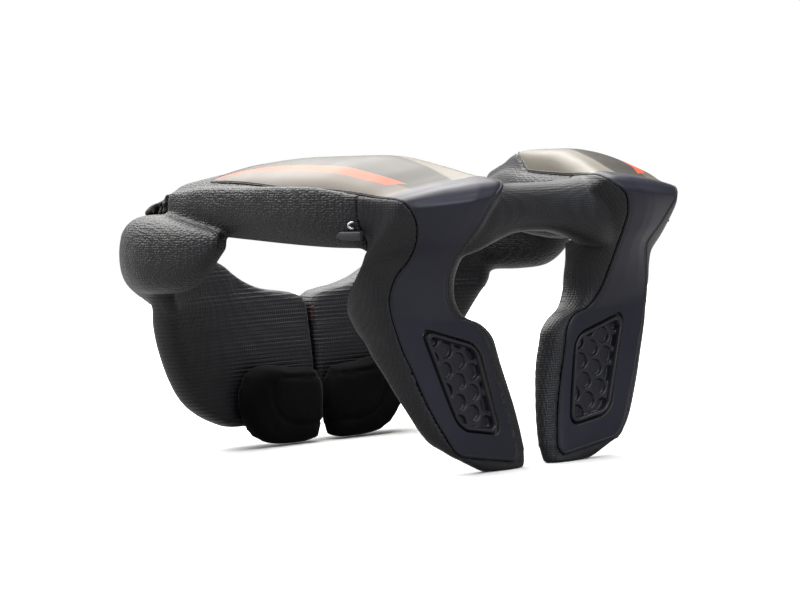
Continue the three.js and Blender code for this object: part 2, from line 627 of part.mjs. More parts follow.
function gripSolid() {
  const floorTop = gripFloor - gripSunk - gripDepth;
  const block = gripPrism(clearance, -gripSunk - gripDepth, 0);
  const lipInside = gripPrism(clearance + gripLipWidth, -gripSunk, gripReach);
  const cellRoom = gripPrism(clearance + gripRimWidth, -gripReach, gripReach);
  let grip = block.subtract(lipInside);
  for (const { x, y } of cellMiddles()) {
    const cell = new THREE.CylinderGeometry(cellRadius, cellRadius, 2 * gripDepth, cellSides);
    cell.rotateX(Math.PI / 2);
    cell.translate(x, y, floorTop + gripDepth);
    cell.applyMatrix4(gripFrame());
    grip = grip.subtract(solidOf(cell).intersect(cellRoom));
  }
  return grip;
}

// Velour pad: rings of its outline, narrower towards the crowned front
function padSolid() {
  const back = (padBack - 0.5) * depth;
  const foot = padFoot * height;
  const outline = new THREE.CatmullRomCurve3(
    padOutline.map(([x, z]) => new THREE.Vector3(x * padWidth, 0, z * padHeight + foot)),
    true,
  ).getPoints(padSteps).slice(0, -1);
  const middle = new THREE.Vector3(padWidth * padMiddle.x, 0, padHeight * padMiddle.z + foot);
  const rings = padLayers.map(({ out, scale }) => outline.map((p) => {
    const point = middle.clone().lerp(p, scale);
    return stand(point.x, back - out * padThickness, point.z);
  }));
  const pad = solidOf(loft(rings));
  const low = new THREE.Vector3(seamGap * 3, -depth, 0);
  const high = new THREE.Vector3(width, depth, height);
  return pad.intersect(boxOf(low, high)).subtract(panelSolid(clearance));
}

// Elastic tab: a sloping strap with ribs under it, as one profile drawn in Y and Z
function tabSolid(grow) {
  const shape = new THREE.Shape();
  const drop = tabLength * 0.4;
  const run = tabLength * 0.92;
  const ribDrop = 7;
  const strapLow = (x) => -(drop * x) / run - tabThickness - grow;
  shape.moveTo(-grow, grow);
  shape.lineTo(run + grow, -drop + grow);
  shape.lineTo(run + grow, strapLow(run));
  for (let i = ribCount - 1; i >= 0; i--) {
    const x = ((i + 0.5) * run) / ribCount;
    shape.lineTo(x + ribThickness / 2 + grow, strapLow(x + ribThickness / 2));
    shape.lineTo(x + ribThickness / 2 + grow, strapLow(x) - ribDrop);
    shape.lineTo(x - ribThickness / 2 - grow, strapLow(x) - ribDrop);
    shape.lineTo(x - ribThickness / 2 - grow, strapLow(x - ribThickness / 2));
  }
  shape.lineTo(-grow, strapLow(0));
  shape.closePath();
  const geometry = new THREE.ExtrudeGeometry(shape, { depth: tabWidth + 2 * grow, bevelEnabled: false });
  geometry.translate(0, 0, -tabWidth / 2 - grow);
  const basis = new THREE.Matrix4().makeBasis(
    new THREE.Vector3(0, 1, 0),
    new THREE.Vector3(0, 0, 1),
    new THREE.Vector3(1, 0, 0),
  );
  geometry.applyMatrix4(basis.setPosition(at(tabSeat.x, tabSeat.y, tabSeat.z)));
  return solidOf(geometry);
}

// How far out the wing's outer seam lies at a given place along the depth
function wingSideAt(y) {
  const target = (y - 0.5) * depth;
  let section = 1;
  while (outSeam(section).y > target) section += 0.05;
  return outSeam(section).x;
}

// Release tab: a bar with a pointed rear end, half sunk in the wing's side
function releaseSolid(grow) {
  const tall = releaseHeight / 2 + grow;
  const half = releaseLength / 2 + grow;
  const shape = new THREE.Shape();
  shape.moveTo(-half, -tall);
  shape.lineTo(half - releaseHeight, -tall);
  shape.lineTo(half, -tall * 0.2);
  shape.lineTo(half - releaseHeight * 0.6, tall);
  shape.lineTo(-half, tall);
  shape.closePath();
  const geometry = new THREE.ExtrudeGeometry(shape, { depth: releaseThickness + 2 * grow, bevelEnabled: false });
  geometry.translate(0, 0, -releaseThickness / 2 - grow);
  const seat = at(0, releaseSeat.y, releaseSeat.z);
  seat.x = wingSideAt(releaseSeat.y) + releaseOut;
  const ahead = wingSideAt(releaseSeat.y - 0.05) + releaseOut;
  const run = new THREE.Vector3(seat.x - ahead, 0.05 * depth, 0).normalize();
  const upward = new THREE.Vector3(0, 0, 1);
  const outward = new THREE.Vector3().crossVectors(run, upward);
  geometry.applyMatrix4(new THREE.Matrix4().makeBasis(run, upward, outward).setPosition(seat));
  return solidOf(geometry);
}

// Wire loop: half a ring of round wire whose two ends sink into the wing's side
function wireSolid(grow) {
  const seat = at(0, wireSeat.y, wireSeat.z);
  seat.x = wingSideAt(wireSeat.y) + wireOut;
  const points = [];
  for (let i = 0; i <= wireSteps; i++) {
    const angle = (Math.PI * i) / wireSteps;
    const rise = wireLoopRadius * 0.7 * Math.cos(angle);
    const reach = wireLoopRadius * Math.sin(angle);
    points.push(new THREE.Vector3(seat.x + reach, seat.y + reach / 2, seat.z + rise));
  }
  const round = new THREE.Shape().absarc(0, 0, wireDiameter / 2 + grow, 0, 2 * Math.PI, false);
  const geometry = new THREE.ExtrudeGeometry(round, {
    steps: wireSteps,
    curveSegments: wireSides,
    bevelEnabled: false,
    extrudePath: new THREE.CatmullRomCurve3(points),
  });
  return solidOf(geometry);
}

function tackSolid(grow) {
  const seat = at(0, tackSeat.y, tackSeat.z);
  const geometry = new THREE.BoxGeometry(tackWidth + 2 * grow, tackThickness + 2 * grow, tackHeight + 2 * grow);
  geometry.rotateX(-THREE.MathUtils.degToRad(tackLean));
  geometry.translate(seat.x, seat.y, seat.z);
  return solidOf(geometry);
}

// Padding of one side, whole, before the wing and the leg are parted
const paddingRings = sectionsBetween(0, surfaceRows.length - 1, ringsPerRow).map(paddingRing);
const padding = solidOf(loft(paddingRings));
const pocket = plateSolid(pocketAbove, plateThickness + clearance, clearance);
const gripPocket = gripPrism(0, -gripSunk - gripDepth - clearance, gripReach);

const far = 2 * Math.max(width, depth, height);
const { y: seamY, z: seamZ } = at(0, wingSeamY, wingSeamZ);
const aboveFloor = boxOf(new THREE.Vector3(-far, -far, 0), new THREE.Vector3(far, far, far));
const behindSeam = (offset) => boxOf(
  new THREE.Vector3(0, seamY + offset, seamZ + offset),
  new THREE.Vector3(far, far, far),
);

const tack = tackSolid(0);
const wingPadding = padding
  .intersect(behindSeam(clearance))
  .add(bulgeSolid())
  .add(panelSolid(0))
  .intersect(aboveFloor)
  .subtract(pocket)
  .subtract(tabSolid(clearance))
  .subtract(releaseSolid(clearance))
  .subtract(wireSolid(clearance))
  .subtract(tackSolid(clearance));

// The largest body of a solid, without the slivers that a cut may leave beside it
function mainBody(solid) {
  return solid.decompose().reduce((one, two) => (two.volume() > one.volume() ? two : one));
}

const mirrorX = new THREE.Matrix4().makeScale(-1, 1, 1);
function mirrored(solid) {
  const geometry = geometryOf(solid);
  geometry.applyMatrix4(mirrorX);
  return solidOf(geometry);
}

const legPadding = padding
  .subtract(behindSeam(0))
  .subtract(pocket)
  .subtract(gripPocket)
  .subtract(releaseSolid(clearance))
  .subtract(wireSolid(clearance));
const bridge = bridgeSolid().subtract(pocket).subtract(mirrored(pocket))
  .subtract(behindSeam(0)).subtract(mirrored(behindSeam(0)));
const frontFrame = mainBody(legPadding.add(mirrored(legPadding)).add(bridge).intersect(aboveFloor));

const shell = plateSolid(0, plateThickness, 0).subtract(gripPrism(0, -gripReach, gripReach));

const materials = {
  padding: { color: 0x26262b, roughness: 0.9, metalness: 0 },
  shell: { color: 0x2b2c38, roughness: 0.45, metalness: 0 },
  grip: { color: 0x1a1b22, roughness: 0.5, metalness: 0 },
  velour: { color: 0x101013, roughness: 1, metalness: 0 },
  elastic: { color: 0x15151a, roughness: 0.95, metalness: 0 },
  release: { color: 0x5a5c62, roughness: 0.4, metalness: 0 },
  wire: { color: 0xd0d2d6, roughness: 0.3, metalness: 1 },
  thread: { color: 0x8a1a1c, roughness: 0.9, metalness: 0 },
};

const brace = new THREE.Group();
function addPiece(name, solid, material) {
  const mesh = new THREE.Mesh(geometryOf(solid), new THREE.MeshStandardMaterial(materials[material]));
  mesh.name = name;
  brace.add(mesh);
}

addPiece("front_frame", frontFrame, "padding");
const sidePieces = [
  ["side_foam", mainBody(wingPadding), "padding"],
  ["shell", shell, "shell"],
  ["chest_grip", gripSolid(), "grip"],
  ["back_pad", padSolid().intersect(aboveFloor), "velour"],
  ["rear_tab", tabSolid(0), "elastic"],
  ["release_tab", releaseSolid(0), "release"],
  ["wire_loop", wireSolid(0), "wire"],
];
for (const [name, solid, material] of sidePieces) {
  addPiece("left_" + name, solid, material);
  addPiece("right_" + name, mirrored(solid), material);
}
addPiece("back_bartack", tack, "thread");

// The origin goes to the middle of the bottom of the overall box
const overall = new THREE.Box3().setFromObject(brace);
const middle = overall.getCenter(new THREE.Vector3());
brace.children.forEach((mesh) => mesh.geometry.translate(-middle.x, -middle.y, -overall.min.z));

export default brace;
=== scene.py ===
# %% [markdown]
# # Motocross neck brace
# A padded collar that lies on a rider's shoulders and chest, so that the helmet's rim meets it before the
# neck bends too far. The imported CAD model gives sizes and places. Here each piece gets its true surface and
# finish: foam under mesh cloth, two moulded plates, grips with round cells, velour pads and small fittings.

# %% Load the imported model
import math
from functools import lru_cache

import bmesh
import bpy
from mathutils import Matrix, Vector
from mathutils.bvhtree import BVHTree
from mathutils.kdtree import KDTree


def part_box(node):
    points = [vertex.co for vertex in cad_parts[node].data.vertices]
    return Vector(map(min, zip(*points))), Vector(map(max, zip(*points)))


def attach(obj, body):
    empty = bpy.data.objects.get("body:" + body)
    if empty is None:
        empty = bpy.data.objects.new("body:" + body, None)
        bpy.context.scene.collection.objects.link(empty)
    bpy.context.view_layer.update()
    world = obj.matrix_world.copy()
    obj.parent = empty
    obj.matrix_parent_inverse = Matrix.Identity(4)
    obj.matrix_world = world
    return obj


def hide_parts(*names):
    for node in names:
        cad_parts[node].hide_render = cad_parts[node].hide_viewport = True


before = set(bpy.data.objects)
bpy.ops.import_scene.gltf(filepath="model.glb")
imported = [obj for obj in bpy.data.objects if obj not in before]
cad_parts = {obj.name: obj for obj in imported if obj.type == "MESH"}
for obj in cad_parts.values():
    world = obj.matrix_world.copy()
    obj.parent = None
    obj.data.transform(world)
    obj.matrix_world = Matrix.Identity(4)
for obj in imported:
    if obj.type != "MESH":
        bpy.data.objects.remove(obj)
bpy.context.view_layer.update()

# %% [markdown]
# ## Driving sizes
# The CAD model was drawn with these sizes, in millimetres. Tables hold shares of them, and at() turns three
# shares into a point. The collar leans a little, so that its legs and back pads stand level. Its place in the
# frame is measured on the thread tack, whose seat is known.

# %% Sizes and places
MM = 0.001
width = 290
depth = 232
height = 171
crown_height = 13
rim_width = 6
panel_thickness = 17
panel_end_radius = 9
bulge_thickness = 34
bridge_height = 26
bridge_depth = 28
seam_gap = 0.4
plate_thickness = 1.6
lean = math.radians(2.3)
lean_line = 0.608
tack_seat = (0, 0.922, 0.42)


def stand(x, y, z):
    """A point of the upright collar, in millimetres with y from its middle, leaned to its stance."""
    line = (lean_line - 0.5) * depth
    y -= line
    return Vector((
        x,
        y * math.cos(lean) - z * math.sin(lean) + line,
        y * math.sin(lean) + z * math.cos(lean),
    ))


def drawn(x, y, z):
    return stand(x * width / 2, (y - 0.5) * depth, z * height)


tack_low, tack_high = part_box("back_bartack")
origin_shift = (tack_low + tack_high) / 2 / MM - drawn(*tack_seat)


def placed(point):
    """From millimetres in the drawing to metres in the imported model's frame."""
    return (point + origin_shift) * MM


def at(x, y, z):
    return placed(drawn(x, y, z))


print("shift of the origin in mm", [round(value, 2) for value in origin_shift])

# %% [markdown]
# ## The table of sections
# Padding and plate follow one table. Each row is a cut across a side, from the wing's rear end forward, over
# the ridge and down the leg. The first table holds the two seams of the top surface and the dome between
# them, the second the far corners of the padding and the swell of its rims. Points are in thousandths.

# %% Sections of a side
# Columns: neck-side seam x, y, z, outer seam x, y, z, rise of the dome, its direction in degrees
surface_rows = [
    (772, 802, 838, 814, 802, 842, 0.15, 90),
    (750, 784, 862, 830, 784, 868, 0.3, 90),
    (703, 724, 884, 834, 724, 880, 0.4, 90),
    (650, 659, 904, 838, 659, 892, 0.44, 90),
    (579, 586, 920, 838, 586, 899, 0.64, 90),
    (476, 487, 927, 834, 490, 904, 0.86, 90),
    (393, 384, 924, 828, 388, 906, 1, 90),
    (331, 276, 924, 797, 276, 906, 1.08, 90),
    (290, 168, 927, 748, 168, 898, 0.7, 90),
    (269, 100, 933, 714, 116, 889, 0.3, 88),
    (259, 50, 934, 693, 78, 886, 0.14, 75),
    (259, 24, 924, 683, 58, 880, 0.12, 45),
    (283, 11, 906, 672, 49, 868, 0.1, 15),
    (328, 4, 877, 655, 43, 848, 0.08, 0),
    (362, 17, 819, 628, 47, 813, 0.06, 0),
    (383, 45, 760, 603, 65, 760, 0.06, 0),
    (403, 78, 702, 590, 97, 702, 0.06, 0),
    (407, 101, 643, 624, 121, 643, 0.06, 0),
    (393, 114, 585, 641, 129, 585, 0.06, 0),
    (370, 120, 545, 638, 129, 545, 0.06, 0),
    (331, 123, 509, 631, 127, 515, 0.05, 0),
    (248, 122, 482, 621, 124, 487, 0.05, 0),
    (210, 118, 444, 608, 120, 450, 0.05, 0),
    (193, 113, 400, 590, 115, 408, 0.05, 0),
    (177, 110, 345, 564, 108, 360, 0.05, 0),
    (141, 100, 234, 510, 94, 251, 0.05, 0),
    (110, 84, 117, 441, 74, 140, 0.05, 0),
    (103, 73, 50, 403, 68, 91, 0.05, 0),
    (109, 69, 18, 386, 66, 78, 0.03, 0),
    (150, 71, -20, 352, 67, 58, 0.02, 0),
]
# Columns: neck-side and outer far corner, neck-side and outer rim, how far the outer rim starts up
back_rows = [
    (745, 802, 784, 807, 802, 784, 0.3, 0.4, 0.02),
    (710, 784, 757, 820, 784, 760, 0.6, 0.8, 0.02),
    (655, 724, 737, 824, 724, 743, 0.9, 1, 0.04),
    (607, 659, 728, 824, 659, 740, 1, 1.1, 0.06),
    (545, 586, 723, 821, 586, 738, 1, 1.2, 0.06),
    (462, 487, 721, 814, 490, 736, 1, 1.2, 0.06),
    (379, 384, 719, 807, 388, 734, 1, 1.3, 0.11),
    (324, 276, 717, 776, 276, 732, 1, 1.35, 0.14),
    (290, 181, 719, 734, 172, 734, 0.9, 0.8, 0.06),
    (283, 183, 711, 717, 168, 728, 0.8, 0.6, 0.02),
    (286, 185, 705, 710, 166, 722, 0.8, 0.5, 0),
    (290, 188, 699, 710, 165, 716, 0.8, 0.5, 0),
    (293, 190, 693, 710, 165, 711, 0.8, 0.6, 0),
    (297, 192, 684, 714, 167, 702, 0.8, 0.8, 0),
    (300, 194, 673, 714, 171, 690, 0.8, 1, -0.02),
    (303, 196, 655, 714, 179, 673, 0.8, 1.1, -0.04),
    (303, 198, 632, 710, 194, 646, 0.8, 1.2, -0.04),
    (300, 200, 602, 703, 218, 608, 0.8, 1.1, -0.04),
    (297, 200, 561, 693, 240, 567, 0.8, 1, -0.04),
    (285, 198, 530, 686, 247, 530, 0.8, 0.9, -0.04),
    (255, 190, 498, 676, 240, 500, 0.8, 0.9, -0.04),
    (196, 180, 470, 666, 229, 470, 0.8, 0.8, -0.04),
    (148, 170, 435, 655, 208, 438, 0.9, 0.8, -0.04),
    (130, 165, 392, 640, 197, 400, 0.9, 0.8, -0.04),
    (110, 160, 337, 614, 179, 349, 0.9, 0.8, -0.04),
    (90, 140, 222, 552, 147, 240, 0.8, 0.8, -0.04),
    (76, 119, 105, 462, 125, 129, 0.6, 0.8, -0.04),
    (83, 110, 41, 400, 116, 100, 0.6, 0.7, -0.04),
    (102, 108, 9, 372, 112, 82, 0.5, 0.6, -0.04),
    (150, 99, -20, 330, 103, 58, 0.2, 0.2, -0.04),
]

# %% [markdown]
# The corner bulge, the back panel and the bridge have short tables of their own. They flow into the wing
# and the legs when the parts are remeshed as one.

# %% Sections of the bulge, the back panel and the bridge
# Columns: spine in plan (x, y), top, bottom, thickness
bulge_rows = [
    ((0.4, 0.95), 0.6, 0.37, 0.45),
    ((0.58, 0.945), 0.655, 0.4, 0.7),
    ((0.724, 0.922), 0.73, 0.465, 0.9),
    ((0.85, 0.865), 0.785, 0.53, 1.05),
    ((0.9, 0.77), 0.8, 0.545, 1.05),
    ((0.905, 0.68), 0.785, 0.565, 0.8),
    ((0.895, 0.61), 0.77, 0.62, 0.5),
    ((0.87, 0.56), 0.755, 0.7, 0.3),
]
# Columns: level, where it begins and ends sideways, its front face at those two ends
panel_rows = [
    (0.05, 0, 0.42, 0.9, 0.908),
    (0.095, 0, 0.545, 0.9, 0.9),
    (0.152, 0, 0.64, 0.9, 0.89),
    (0.24, 0, 0.715, 0.9, 0.88),
    (0.363, 0, 0.785, 0.914, 0.865),
    (0.45, 0, 0.83, 0.928, 0.84),
    (0.48, 0.02, 0.84, 0.932, 0.825),
    (0.515, 0.228, 0.855, 0.934, 0.82),
    (0.55, 0.324, 0.855, 0.932, 0.82),
    (0.59, 0.4, 0.85, 0.928, 0.82),
    (0.632, 0.48, 0.84, 0.92, 0.82),
    (0.68, 0.56, 0.82, 0.905, 0.83),
]
# Columns: middle (x, y, z), height, depth, from the middle to the left
bridge_half = [
    (0, 0.122, 0.836, 1, 0.95),
    (0.1, 0.12, 0.834, 1.03, 0.97),
    (0.2, 0.115, 0.826, 1.22, 1.04),
    (0.3, 0.115, 0.815, 1.45, 1.14),
    (0.42, 0.13, 0.79, 1.5, 1),
]
bridge_rows = [(-row[0], *row[1:]) for row in bridge_half[:0:-1]] + bridge_half

# %% [markdown]
# ## Smooth curves through the rows
# A centripetal Catmull-Rom curve passes through every row and doesn't overshoot where rows lie close
# together, as they do at the ridge.

# %% Curves through rows
least_span = 1e-4


def smooth_point(points, row):
    last = len(points) - 1
    row = min(max(row, 0), last)
    index = min(int(row), last - 1)
    share = row - index
    p1, p2 = points[index], points[index + 1]
    p0 = points[index - 1] if index > 0 else 2 * p1 - p2
    p3 = points[index + 2] if index + 2 <= last else 2 * p2 - p1
    spans = [math.sqrt((b - a).length) for a, b in ((p0, p1), (p1, p2), (p2, p3))]
    d1 = spans[1] if spans[1] > least_span else 1
    d0, d2 = (span if span > least_span else d1 for span in (spans[0], spans[2]))
    start = ((p1 - p0) / d0 - (p2 - p0) / (d0 + d1) + (p2 - p1) / d1) * d1
    end = ((p2 - p1) / d1 - (p3 - p1) / (d1 + d2) + (p3 - p2) / d2) * d1
    curve = (2 * p1 - 2 * p2 + start + end) * share ** 3
    curve += (-3 * p1 + 3 * p2 - 2 * start - end) * share ** 2
    return curve + start * share + p1


def table_points(rows, first):
    """The points that three columns of a table hold."""
    return [drawn(*(value / 1000 for value in row[first:first + 3])) for row in rows]


inner_seams, outer_seams = table_points(surface_rows, 0), table_points(surface_rows, 3)
inner_backs, outer_backs = table_points(back_rows, 0), table_points(back_rows, 3)
domes = [Vector((row[6] * crown_height, row[7], 0)) for row in surface_rows]
rims = [Vector((row[6] * rim_width, row[7] * rim_width, row[8])) for row in back_rows]
last_section = len(surface_rows) - 1

# %% [markdown]
# The dome rises fast from the neck-side seam and falls slowly to the outer one. On the legs two soft creases
# part the plate into three facets, which catch the light differently.

# %% The top surface
arch_power = 0.6
across_steps = 6
# Columns: section, crease nearer the neck, crease nearer the shoulder, height of the creases in millimetres
crease_rows = [
    (9.4, 0.2, 0.62, 0.0),
    (11, 0.26, 0.58, 1.6),
    (13, 0.32, 0.5, 2.2),
    (15, 0.38, 0.6, 1.8),
    (17, 0.42, 0.74, 1.0),
    (19.5, 0.45, 0.8, 0.0),
]


def arch(across):
    even = across ** arch_power
    return max(0, 1 - (2 * even - 1) ** 2) ** arch_power


def crease_height(section, across):
    if not crease_rows[0][0] < section < crease_rows[-1][0]:
        return 0
    low, high = next(pair for pair in zip(crease_rows, crease_rows[1:]) if section <= pair[1][0])
    share = (section - low[0]) / (high[0] - low[0])
    first, second, top = (a + (b - a) * share for a, b in zip(low[1:], high[1:]))
    if across < first:
        return top * across / first
    if across > second:
        return top * (1 - across) / (1 - second)
    return top


@lru_cache(maxsize=None)
def surface_guide(section):
    near = smooth_point(inner_seams, section)
    far = smooth_point(outer_seams, section)
    rise, tilt, _ = smooth_point(domes, section)
    up = math.radians(tilt)
    lift = Vector((0, -math.cos(up), math.sin(up)))
    guide = []
    for step in range(across_steps + 1):
        across = (1 - math.cos(math.pi * step / across_steps)) / 2
        guide.append(near.lerp(far, across) + lift * rise * arch(across))
    return guide, lift


def surface_point(section, across):
    guide, lift = surface_guide(section)
    row = across_steps * math.acos(1 - 2 * min(max(across, 0), 1)) / math.pi
    return smooth_point(guide, row) + lift * crease_height(section, across)


# %% [markdown]
# ## The ring of padding at a section
# From the outer seam the ring goes round the swelling rim, along the side, under the padding and back up
# to the neck-side seam. It closes over the top surface.

# %% Padding rings
around_top = 20
around_sides = 44
leg_swell = 0.9
leg_swell_starts = 23.5
leg_swell_length = 3
# Columns: share of the way from the seam to the far corner, offset in rims, share of the lip
outer_side = [(0.08, 0.7, 1), (0.4, 1.1, 0), (0.8, 0.8, 0), (1, -0.2, 0)]
inner_side = [(1, 0.3), (0.8, -0.8), (0.4, -1.1), (0.12, -0.75)]


def smooth_step(value):
    value = min(max(value, 0), 1)
    return value * value * (3 - 2 * value)


@lru_cache(maxsize=None)
def side_guide(section):
    near = smooth_point(inner_seams, section)
    far = smooth_point(outer_seams, section)
    near_back = smooth_point(inner_backs, section)
    far_back = smooth_point(outer_backs, section)
    rim_in, rim_out, lip = smooth_point(rims, section)
    rim_in *= 1 + leg_swell * smooth_step((section - leg_swell_starts) / leg_swell_length)
    outward = (far - near).normalized()

    outer = [
        far.lerp(far_back, share - lip * lipped) + outward * rim_out * swell
        for share, swell, lipped in outer_side]
    inner = [near.lerp(near_back, share) + outward * rim_in * swell for share, swell in inner_side]
    return [far, *outer, far_back.lerp(near_back, 0.5), *inner, near]


def padding_point(section, around):
    """around runs from 0 to 1: first across the top surface, then round the sides and the underside."""
    step = around * (around_top + around_sides)
    if step <= around_top:
        return surface_point(section, (1 - math.cos(math.pi * step / around_top)) / 2)
    guide = side_guide(section)
    return smooth_point(guide, (step - around_top) / around_sides * (len(guide) - 1))


# %% [markdown]
# ## Mesh helpers
# Every swept surface starts as a grid whose vertices carry two shares, across and along, and move to the
# point that these stand for. A tube is a grid with its long edges welded and its ends filled. A voxel remesh
# joins tubes that pass through each other into one skin, as one cover encloses its foam.

# %% Mesh helpers
weld_distance = 0.005


def mesh_data(name, mesh):
    """Mesh data made from a bmesh, which is freed."""
    data = bpy.data.meshes.new(name)
    mesh.to_mesh(data)
    mesh.free()
    return data


def in_scene(name, data):
    obj = bpy.data.objects.new(name, data)
    bpy.context.scene.collection.objects.link(obj)
    return obj


def scratch_object(mesh):
    return in_scene("scratch", mesh_data("scratch", mesh))


def swept_grid(across, along, place, closed=False, uvs=False):
    mesh = bmesh.new()
    if uvs:
        mesh.loops.layers.uv.new("cloth")
    bmesh.ops.create_grid(mesh, x_segments=across, y_segments=along, size=1, calc_uvs=uvs)
    for vertex in mesh.verts:
        vertex.co = placed(place((vertex.co.x + 1) / 2, (vertex.co.y + 1) / 2))
    if closed:
        bmesh.ops.remove_doubles(mesh, verts=mesh.verts, dist=weld_distance * MM)
        ends = [edge for edge in mesh.edges if edge.is_boundary]
        bmesh.ops.holes_fill(mesh, edges=ends, sides=0)
        bmesh.ops.triangulate(mesh, faces=[face for face in mesh.faces if len(face.verts) > 4])
        bmesh.ops.recalc_face_normals(mesh, faces=mesh.faces)
    return mesh


def modify(obj, name, kind, **settings):
    modifier = obj.modifiers.new(name, kind)
    for key, value in settings.items():
        setattr(modifier, key, value)
    return obj


def shaped(obj):
    """The object's mesh with its modifiers applied. The object is removed."""
    ready = obj.evaluated_get(bpy.context.evaluated_depsgraph_get())
    mesh = bmesh.new()
    mesh.from_mesh(ready.to_mesh())
    ready.to_mesh_clear()
    bpy.data.objects.remove(obj)
    return mesh


def joined(*meshes):
    whole = meshes[0]
    for mesh in meshes[1:]:
        whole.from_mesh(mesh_data("part", mesh))
    return whole


def remeshed(mesh, voxel):
    return shaped(modify(scratch_object(mesh), "One skin", "REMESH", mode="VOXEL", voxel_size=voxel * MM))


def combined(mesh, other, operation):
    tool = scratch_object(other)
    result = shaped(modify(scratch_object(mesh), "Cut", "BOOLEAN", operation=operation, object=tool))
    bpy.data.objects.remove(tool)
    return result


def walled(mesh, thickness, **settings):
    """The open mesh with a wall that grows inwards, in millimetres."""
    obj = modify(scratch_object(mesh), "Wall", "SOLIDIFY", thickness=thickness * MM, offset=-1, **settings)
    return shaped(obj)


def smoothed(mesh, rounds, verts=None):
    for _ in range(rounds):
        bmesh.ops.smooth_vert(
            mesh, verts=verts or mesh.verts, factor=0.5, use_axis_x=True, use_axis_y=True, use_axis_z=True)
    return mesh


def mirrored(mesh):
    other = mesh.copy()
    bmesh.ops.scale(other, vec=(-1, 1, 1), verts=other.verts)
    bmesh.ops.reverse_faces(other, faces=other.faces)
    return other


def block(low, high):
    """A box between two corners in metres."""
    mesh = bmesh.new()
    bmesh.ops.create_cube(mesh, size=1)
    low, high = Vector(low), Vector(high)
    bmesh.ops.scale(mesh, vec=high - low, verts=mesh.verts)
    bmesh.ops.translate(mesh, vec=(low + high) / 2, verts=mesh.verts)
    return mesh


def piece(name, mesh, material, slot, *nodes):
    """A finished piece: it rides on the brace, takes a material and replaces CAD nodes. The slot is not used.
    """
    data = mesh_data(name, mesh)
    for face in data.polygons:
        face.use_smooth = True
    data.materials.append(material)
    obj = in_scene(name, data)
    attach(obj, "root")
    if nodes:
        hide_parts(*nodes)
    print(name, "faces", len(data.polygons))
    return obj


def both_sides(name, mesh, material, slot, *nodes):
    """The mesh as the left piece, and its mirror image as the right one. Names get their side in front."""
    right = piece("right_" + name, mirrored(mesh), material, slot, *("right_" + end for end in nodes))
    left = piece("left_" + name, mesh, material, slot, *("left_" + end for end in nodes))
    return left, right


# %% [markdown]
# ## Cover plates
# Each side has one moulded plate, from a round tip behind the shoulder over the wing and down the leg. It
# is a grid swept over the top surface, with closer rows where it folds and at its ends.

# %% The plate's outline
plate_tip = 3.13
plate_full_width = 6
plate_bottom = 27
plate_tip_across = 0.88
plate_corner_radius = 5
# These two keep the rows at the tip and at the foot from closing to a point
tip_kept = 0.03
corner_kept = 0.98
tip_rows = 26
corner_rows = 14
rows_per_section = 8
plate_columns = 40


def plate_span(section):
    near = smooth_point(inner_seams, section)
    length = (smooth_point(outer_seams, section) - near).length
    closing = 0
    if section < plate_full_width:
        along = (plate_full_width - section) / (plate_full_width - plate_tip + tip_kept)
        closing = 1 - math.sqrt(max(0, 1 - along * along))
    corner = 0
    left = (near - smooth_point(inner_seams, plate_bottom)).length
    if section > plate_bottom - 1 and left < plate_corner_radius:
        along = (plate_corner_radius - left) / plate_corner_radius
        corner = plate_corner_radius * (1 - math.sqrt(1 - along * along * corner_kept)) / length
    return (
        max(plate_tip_across * closing, corner),
        1 - max((1 - plate_tip_across) * closing, corner),
    )


plate_stations = [
    plate_tip + (plate_full_width - plate_tip) * (row / tip_rows) ** 2 for row in range(tip_rows)]
middle_rows = (plate_bottom - 1 - plate_full_width) * rows_per_section
plate_stations += [plate_full_width + row / rows_per_section for row in range(middle_rows)]
plate_stations += [
    plate_bottom - (1 - row / corner_rows) ** 2 for row in range(corner_rows + 1)]


def plate_point(across, along):
    section = plate_stations[round(along * (len(plate_stations) - 1))]
    start, end = plate_span(section)
    return surface_point(section, start + (end - start) * across)


def plate_grid(uvs=False):
    mesh = swept_grid(plate_columns, len(plate_stations) - 1, plate_point, uvs=uvs)
    bmesh.ops.reverse_faces(mesh, faces=mesh.faces)
    return mesh


plate_surface = plate_grid()
plate_tree = BVHTree.FromBMesh(plate_surface)
border_points = [vertex.co.copy() for vertex in plate_surface.verts if vertex.is_boundary]
border_tree = KDTree(len(border_points))
for index, point in enumerate(border_points):
    border_tree.insert(point, index)
border_tree.balance()
plate_surface.free()
print("plate rows", len(plate_stations), "border points", len(border_points))

# %% [markdown]
# ## The recess for a chest grip
# Low on each leg the plate has a recess. Its corners give it a plane of its own: X across the leg, Y up it
# and Z out of it, in millimetres. from_edge() says how far inside the edge a place of that plane lies.

# %% The recess
grip_corners = [
    drawn(0.166, 0.086, 0.132),
    drawn(0.381, 0.082, 0.163),
    drawn(0.519, 0.12, 0.492),
    drawn(0.238, 0.117, 0.422),
]
grip_corner_radius = 7.5
recess_reach = 12


def grip_plane():
    inner_bottom, outer_bottom, outer_top, inner_top = grip_corners
    middle = sum(grip_corners, Vector()) / 4
    across = (outer_top + outer_bottom - inner_top - inner_bottom).normalized()
    rough = outer_top + inner_top - outer_bottom - inner_bottom
    outward = across.cross(rough).normalized()
    along = outward.cross(across).normalized()
    axes = Matrix((across, along, outward)).transposed().to_4x4()
    return Matrix.Translation(middle) @ axes


grip_matrix = grip_plane()
grip_inverse = grip_matrix.inverted()
flat_corners = [(grip_inverse @ corner).to_2d() for corner in grip_corners]


